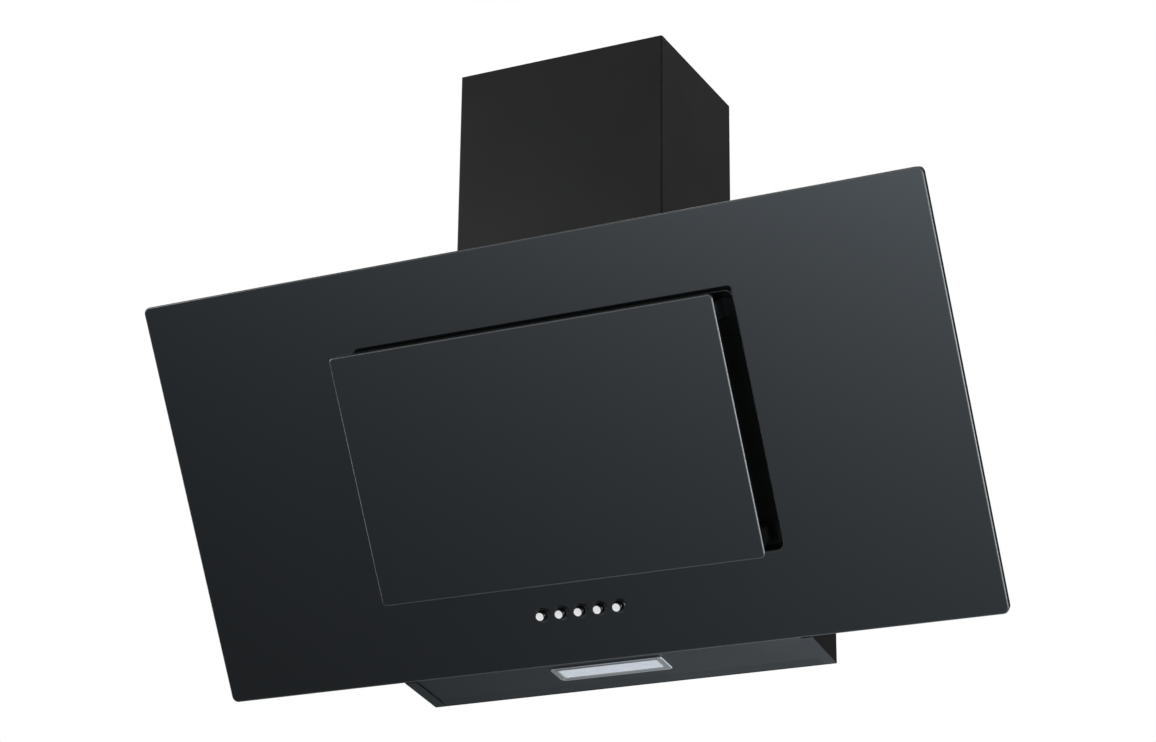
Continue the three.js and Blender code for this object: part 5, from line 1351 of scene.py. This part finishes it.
@dataclass
class Chimney:
    """Two nested covers of folded sheet with their foot and wall brackets."""

    sheet: float = 1.2
    bend: float = 1.6
    fold: float = 16.0
    edge: float = 0.12
    slots: int = 7
    slot_length: float = 60.0
    slot_width: float = 4.0
    slot_pitch: float = 9.0
    slot_below_top: float = 34.0
    duct_middle: float = 96.0

    def build(self) -> None:
        """Builds both covers and softens the brackets."""
        self.cover("chimney_lower", "lower_cover", False)
        self.cover("chimney_upper", "upper_cover", True)
        softened(0.3, "chimney_foot", "chimney_bracket")

    def cover(self, node: str, name: str, slotted: bool) -> None:
        """Builds one cover round the solid's box.

        Args:
            node: The solid.
            name: Name of the piece.
            slotted: True if air leaves through slots in its sides.
        """
        low, high = (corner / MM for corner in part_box(node))
        inset = self.sheet / 2
        a, back, front = high.x - inset, high.y - inset, low.y + inset
        lip = a - self.fold + inset
        corners = [(-lip, back), (-a, back), (-a, front), (a, front), (a, back), (lip, back)]
        path = [corners[0]]
        for k in range(1, len(corners) - 1):
            path += self.arc(*corners[k - 1:k + 2])
        path.append(corners[-1])
        mesh = folded_mesh(path, self.sheet, low.z, high.z)
        if slotted:
            slot = rounded_rectangle(self.slot_length, self.slot_width, self.slot_width / 2 - 0.01,
                                     steps=6)
            first = high.z - self.slot_below_top
            cutter = lofted_mesh([
                [Vector((x, -self.duct_middle + u, first + v)) for u, v in slot]
                for x in (-2 * a, 2 * a)])
            mesh = cut_mesh(mesh, through_tree(cutter, row_tree, Look.PAINT, {
                "Count": self.slots, "Step": (0.0, 0.0, -self.slot_pitch)}))
        mesh = soft_edged(cleaned(mesh, FLAT_ANGLE), self.edge, 60.0)
        piece(name, mesh, Plane.ROOM, NODE_BODIES[node], Look.PAINT, node, sharp=40.0)

    def arc(self, before: Point, corner: Point, after: Point, steps: int = 6) -> list[Point]:
        """Returns the bend of a square corner."""
        back, ahead = ((Vector(end) - Vector(corner)).normalized() * self.bend
                       for end in (before, after))
        centre = Vector(corner) + back + ahead
        angles = (math.pi / 2 * i / steps for i in range(steps + 1))
        return [tuple(centre - ahead * math.cos(t) - back * math.sin(t)) for t in angles]


# --- electrics


@dataclass
class Electrics:
    """Control box, lid and capacitor on the back wall."""

    edge: float = 0.5

    def build(self) -> None:
        """Softens the mouldings."""
        softened(self.edge, "control_box", "control_box_lid", "capacitor", "capacitor_clip")


# --- screws


Mark = tuple[Plane, Triple, Triple]


@dataclass
class Screws:
    """Small pan-head screws with cross recesses."""

    head: float = 6.4
    height: float = 2.0
    recess: float = 3.4
    recess_width: float = 0.9
    half_body: float = 237.0
    flange_back: float = -11.5
    flange_middle: float = 9.0
    flange_screws: int = 5
    flange_run: Point = (45.0, 395.0)
    roof_out: Point = (60.0, 170.0)
    roof_below: float = 7.0
    adapter_side: float = 50.2
    adapter_out: Point = (12.0, 107.0)
    adapter_flange: float = 2.0
    arm_side: float = 197.0
    arm_up: Point = (322.0, 336.0)
    arm_face: float = 13.0

    def screw(self) -> Mesh:
        """Returns one screw head, with its seat at the origin and its top along Z."""
        r, h = self.head / 2, self.height
        head = turned_mesh([(0.0, -0.2), (r, -0.2), (r, h * 0.3), (r * 0.94, h * 0.6),
                            (r * 0.72, h * 0.88), (r * 0.4, h), (0.0, h)], steps=20)
        size = (self.recess, self.recess_width)
        for width, length in (size, size[::-1]):
            bar = rounded_rectangle(width, length, 0.2, steps=2)
            head = cut_mesh(head, lofted_mesh([at_height(bar, z) for z in (h * 0.4, h + 1)]))
        return head

    def fasten(self, name: str, body: str, rows: Sequence[Mark]) -> None:
        """Puts a screw at each mark and lets them ride on a body.

        Args:
            name: Name of the piece.
            body: The body.
            rows: Plane, place in millimetres and facing of each screw.
        """
        mesh = bpy.data.meshes.new("marks")
        places = [tuple(plane.matrix() @ Vector(place) / MM) for plane, place, _ in rows]
        mesh.from_pydata(places, [], [])
        facing = mesh.attributes.new("facing", "FLOAT_VECTOR", "POINT")
        for item, (plane, _, out) in zip(facing.data, rows):
            item.vector = (plane.matrix().to_3x3() @ Vector(out)).normalized()
        marks = new_object("marks", mesh)
        made = through_tree(self.screw(), marks_tree, Look.DARK_SCREW, {"Marks": marks, "Seed": 7})
        bpy.data.objects.remove(marks)
        piece(name, made, Plane.ROOM, body, Look.DARK_SCREW, sharp=40.0)

    def build(self) -> None:
        """Places the screws of the body, the roof, the chimney and the hinges."""
        back, up = (0, 0, -1), (0, 0, 1)
        low, high = self.flange_run
        run = [low + (high - low) * k / (self.flange_screws - 1) for k in range(self.flange_screws)]
        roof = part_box("top_plate")[1].z / MM - self.roof_below
        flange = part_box("outlet_adapter")[0].z / MM + self.adapter_flange
        rows: list[Mark] = [
            (Plane.SLOPE, (side * (self.half_body + self.flange_middle), y, self.flange_back), back)
            for side in SIDES for y in run]
        rows += [(Plane.ROOM, (side * self.half_body, -out, roof), (side, 0, 0))
                 for side in SIDES for out in self.roof_out]
        rows += [(Plane.ROOM, (side * self.adapter_side, -out, flange), up)
                 for side in SIDES for out in self.adapter_out]
        bottom, top = (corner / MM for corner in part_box("chimney_lower"))
        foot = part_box("chimney_foot")[0].z / MM + 1.2
        for side in SIDES:
            rows.append((Plane.ROOM, (side * top.x, bottom.y * 0.55, bottom.z + 10), (side, 0, 0)))
            rows.append((Plane.ROOM, (side * (top.x - 9), bottom.y * 0.4, foot), up))
        self.fasten("body_screws", "root", rows)
        self.fasten("flap_screws", "flap", [
            (Plane.SLOPE, (side * self.arm_side, y, self.arm_face), back)
            for side in SIDES for y in self.arm_up])


# --- stage


@dataclass
class Studio:
    """Camera, soft lamps, a pale floor and a white background.

    A ramp gives a low and a high value on an axis and the level at each of them.
    """

    place: Triple = (1.2215, -2.6757, -0.9595)
    yaw: float = 25.70
    pitch: float = 21.044
    roll: float = 0.621
    lens: float = 87.36
    shade: float = 0.55                                # level of what isn't seen by eye or in gloss
    ahead_by_height: Ramp = (0.38, 0.49, 0.46, 0.06)   # world in gloss, before the hood
    ahead_by_side: Ramp = (-0.15, 0.3, 1.0, 0.12)
    beside: Ramp = (-0.2, 0.4, 0.0, 1.0)               # from before the hood to beside it
    beside_by_height: Ramp = (0.24, 0.42, 0.04, 0.14)
    above: Ramp = (0.0, 0.15, 0.0, 1.0)
    low_band: float = 0.5                              # world in gloss, near the horizon
    floor_height: float = -1.5
    floor_side: float = 15.0
    front_fall: Triple = (0.72, -0.90, -2.23)
    front_far: Ramp = (-6.0, -3.5, 0.1, 1.0)
    front_least: float = 0.14
    front_most: float = 1.0
    back_fall: Triple = (1.60, 0.0, 0.68)
    back_near: Ramp = (-0.3, 1.2, 0.0, 1.0)
    back_most: float = 0.75
    gloss_tint: Triple = (0.88, 1.0, 1.1)
    floor_colour: Triple = (0.8, 0.8, 0.8)

    def build(self) -> None:
        """Builds the whole studio."""
        bpy.context.scene.view_settings.view_transform = "Standard"
        self.camera()
        self.world()
        self.floor()
        self.lamp("key_lamp", (2.2, -2.4, 1.7), (0.0, -0.15, 0.1), 1.6, 60.0).visible_glossy = False
        self.lamp("rim_lamp", (2.65, -0.78, -0.72), (0.0, -0.15, 0.0), 0.8, 10.0)
        self.lamp("edge_lamp", (-2.42, -0.98, -0.81), (-0.3, -0.2, 0.0), 0.5, 2.2)
        self.lamp("fill_lamp", (-2.6, -2.2, 0.6), (0.0, -0.15, 0.1), 2.0, 26.0)
        self.lamp("top_lamp", (0.2, 0.3, 2.4), (0.0, -0.1, 0.2), 1.8, 30.0)

    def camera(self) -> None:
        """Puts the camera where the photograph was taken from."""
        yaw, pitch, roll = (math.radians(a) for a in (self.yaw, self.pitch, self.roll))
        ahead = Vector((-math.sin(yaw) * math.cos(pitch), math.cos(yaw) * math.cos(pitch),
                        math.sin(pitch)))
        right = Vector((math.cos(yaw), math.sin(yaw), 0.0))
        up = right.cross(ahead)
        x_axis = right * math.cos(roll) + up * math.sin(roll)
        y_axis = up * math.cos(roll) - right * math.sin(roll)
        data = bpy.data.cameras.new("camera")
        data.sensor_width = 36.0
        data.lens = self.lens
        data.clip_start, data.clip_end = 0.05, 60.0
        camera = bpy.context.scene.camera = new_object("camera", data)
        turn = Matrix((x_axis, y_axis, -ahead)).transposed().to_4x4()
        camera.matrix_world = Matrix.Translation(self.place) @ turn

    def lamp(self, name: str, place: Triple, aim: Triple, size: float, power: float) -> Object:
        """Adds a large soft lamp that looks at a point.

        Args:
            name: Name of the lamp.
            place: Where it stands, in metres.
            aim: The point that it lights.
            size: Side of its square face, in metres.
            power: Its power in watts.

        Returns:
            The lamp.
        """
        data = bpy.data.lights.new(name, "AREA")
        data.shape = "SQUARE"
        data.size = size
        data.energy = power
        lamp = new_object(name, data)
        turn = (Vector(aim) - Vector(place)).to_track_quat("-Z", "Y").to_matrix().to_4x4()
        lamp.matrix_world = Matrix.Translation(place) @ turn
        return lamp

    def seen(self, nodes: Nodes) -> tuple[Socket, Socket]:
        """Returns 1 for rays that show the background to the eye, and 1 for gloss and glass."""
        path = nodes.add("ShaderNodeLightPath").outputs
        gloss = nodes.math("MAXIMUM", path["Is Glossy Ray"], path["Is Transmission Ray"])
        return path["Is Camera Ray"], gloss

    def world(self) -> None:
        """Makes the world white to the eye; in gloss it is dim, and darkest high up."""
        world = bpy.context.scene.world = bpy.data.worlds.new("studio")
        nodes = Nodes.of(world)
        eye, gloss = self.seen(nodes)
        axis = nodes.axes(nodes.add("ShaderNodeTexCoord").outputs["Generated"])
        ahead = nodes.times(nodes.remap(axis["Z"], *self.ahead_by_height, True),
                            nodes.remap(axis["X"], *self.ahead_by_side, True))
        dim = nodes.blend(nodes.remap(axis["Y"], *self.beside, True), ahead,
                          nodes.remap(axis["Z"], *self.beside_by_height, True))
        dim = nodes.blend(nodes.remap(axis["Z"], *self.above, True), self.low_band, dim)
        level = nodes.math("MAXIMUM", nodes.blend(gloss, self.shade, dim), eye)
        shade = nodes.first("ShaderNodeBackground", {"Color": (1.0, 1.0, 1.0, 1.0), "Strength": level})
        nodes.output("ShaderNodeOutputWorld", Surface=shade)

    def fall(self, nodes: Nodes, spot: Any, slope: Triple, most: float) -> Socket:
        """Adds a light level that falls off by a steady share with each metre.

        Args:
            nodes: Tree of the floor's material.
            spot: The place on the floor, by axis.
            slope: Fall along x, fall along y, and the level's logarithm at the middle.
            most: The level that it stays under.

        Returns:
            The level.
        """
        along_x, along_y, middle = slope
        power = nodes.plus(nodes.times(spot["X"], along_x),
                           nodes.math("MULTIPLY_ADD", spot["Y"], along_y, middle))
        return nodes.math("MINIMUM", nodes.math("EXPONENT", power), most)

    def floor(self) -> None:
        """Lays a pale floor; in gloss its light falls off evenly from the right front corner."""
        mesh = bpy.data.meshes.new("floor")
        side = self.floor_side
        mesh.from_pydata([(x * side, y * side, self.floor_height)
                          for x, y in ((-1, -1), (1, -1), (1, 1), (-1, 1))], [], [(0, 1, 2, 3)])
        new_object("floor", mesh)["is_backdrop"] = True
        material = bpy.data.materials.new("pale_floor")
        mesh.materials.append(material)
        nodes = Nodes.of(material)
        eye, gloss = self.seen(nodes)
        spot = nodes.axes(nodes.add("ShaderNodeTexCoord").outputs["Object"])
        front = nodes.times(self.fall(nodes, spot, self.front_fall, self.front_most),
                            nodes.remap(spot["Y"], *self.front_far, True))
        front = nodes.math("MAXIMUM", front, self.front_least)
        back = nodes.times(self.fall(nodes, spot, self.back_fall, self.back_most),
                           nodes.remap(spot["Y"], *self.back_near, True))
        level = nodes.math("MAXIMUM", nodes.times(gloss, nodes.math("MAXIMUM", front, back)),
                           nodes.times(eye, self.shade))
        cool = nodes.mix(gloss, (1.0, 1.0, 1.0), self.gloss_tint)
        glow = nodes.first("ShaderNodeEmission", {"Color": cool, "Strength": level})
        plain = nodes.first("ShaderNodeBsdfDiffuse", {"Color": (*self.floor_colour, 1.0)})
        matt = nodes.first("ShaderNodeMixShader", {0: gloss, 1: plain})
        above = nodes.first("ShaderNodeAddShader", {0: matt, 1: glow})
        below = nodes.add("ShaderNodeNewGeometry").outputs["Backfacing"]
        nodes.output("ShaderNodeOutputMaterial", Surface=nodes.first("ShaderNodeMixShader", {
            0: below, 1: above, 2: nodes.first("ShaderNodeBsdfTransparent")}))


def dress_solids() -> None:
    """Gives every solid the finish of its slot in the record."""
    for node, obj in frame["nodes"].items():
        SLOT_LOOKS[NODE_SLOTS[node]].on(obj)


def write_sizes() -> None:
    """Works out the box of the solids and the box of the finished hood, but keeps neither."""
    boxes = {"cad": cad_box, "visual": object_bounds()}
    {name: [list(low), list(high)] for name, (low, high) in boxes.items()}


def main() -> None:
    """Builds the studio and every sub-assembly in order."""
    logging.basicConfig(level=logging.INFO, format="%(name)s %(message)s")
    Studio().build()
    dress_solids()
    for assembly in (GlassFront(), FlapFittings(), PushButtons(), Lamp(), GreaseFilter(), Body(), Fan(),
                     Outlet(), Chimney(), Electrics(), Screws()):
        assembly.build()
        log.info("%s done", type(assembly).__name__)
    write_sizes()


if __name__ == "__main__":
    main()
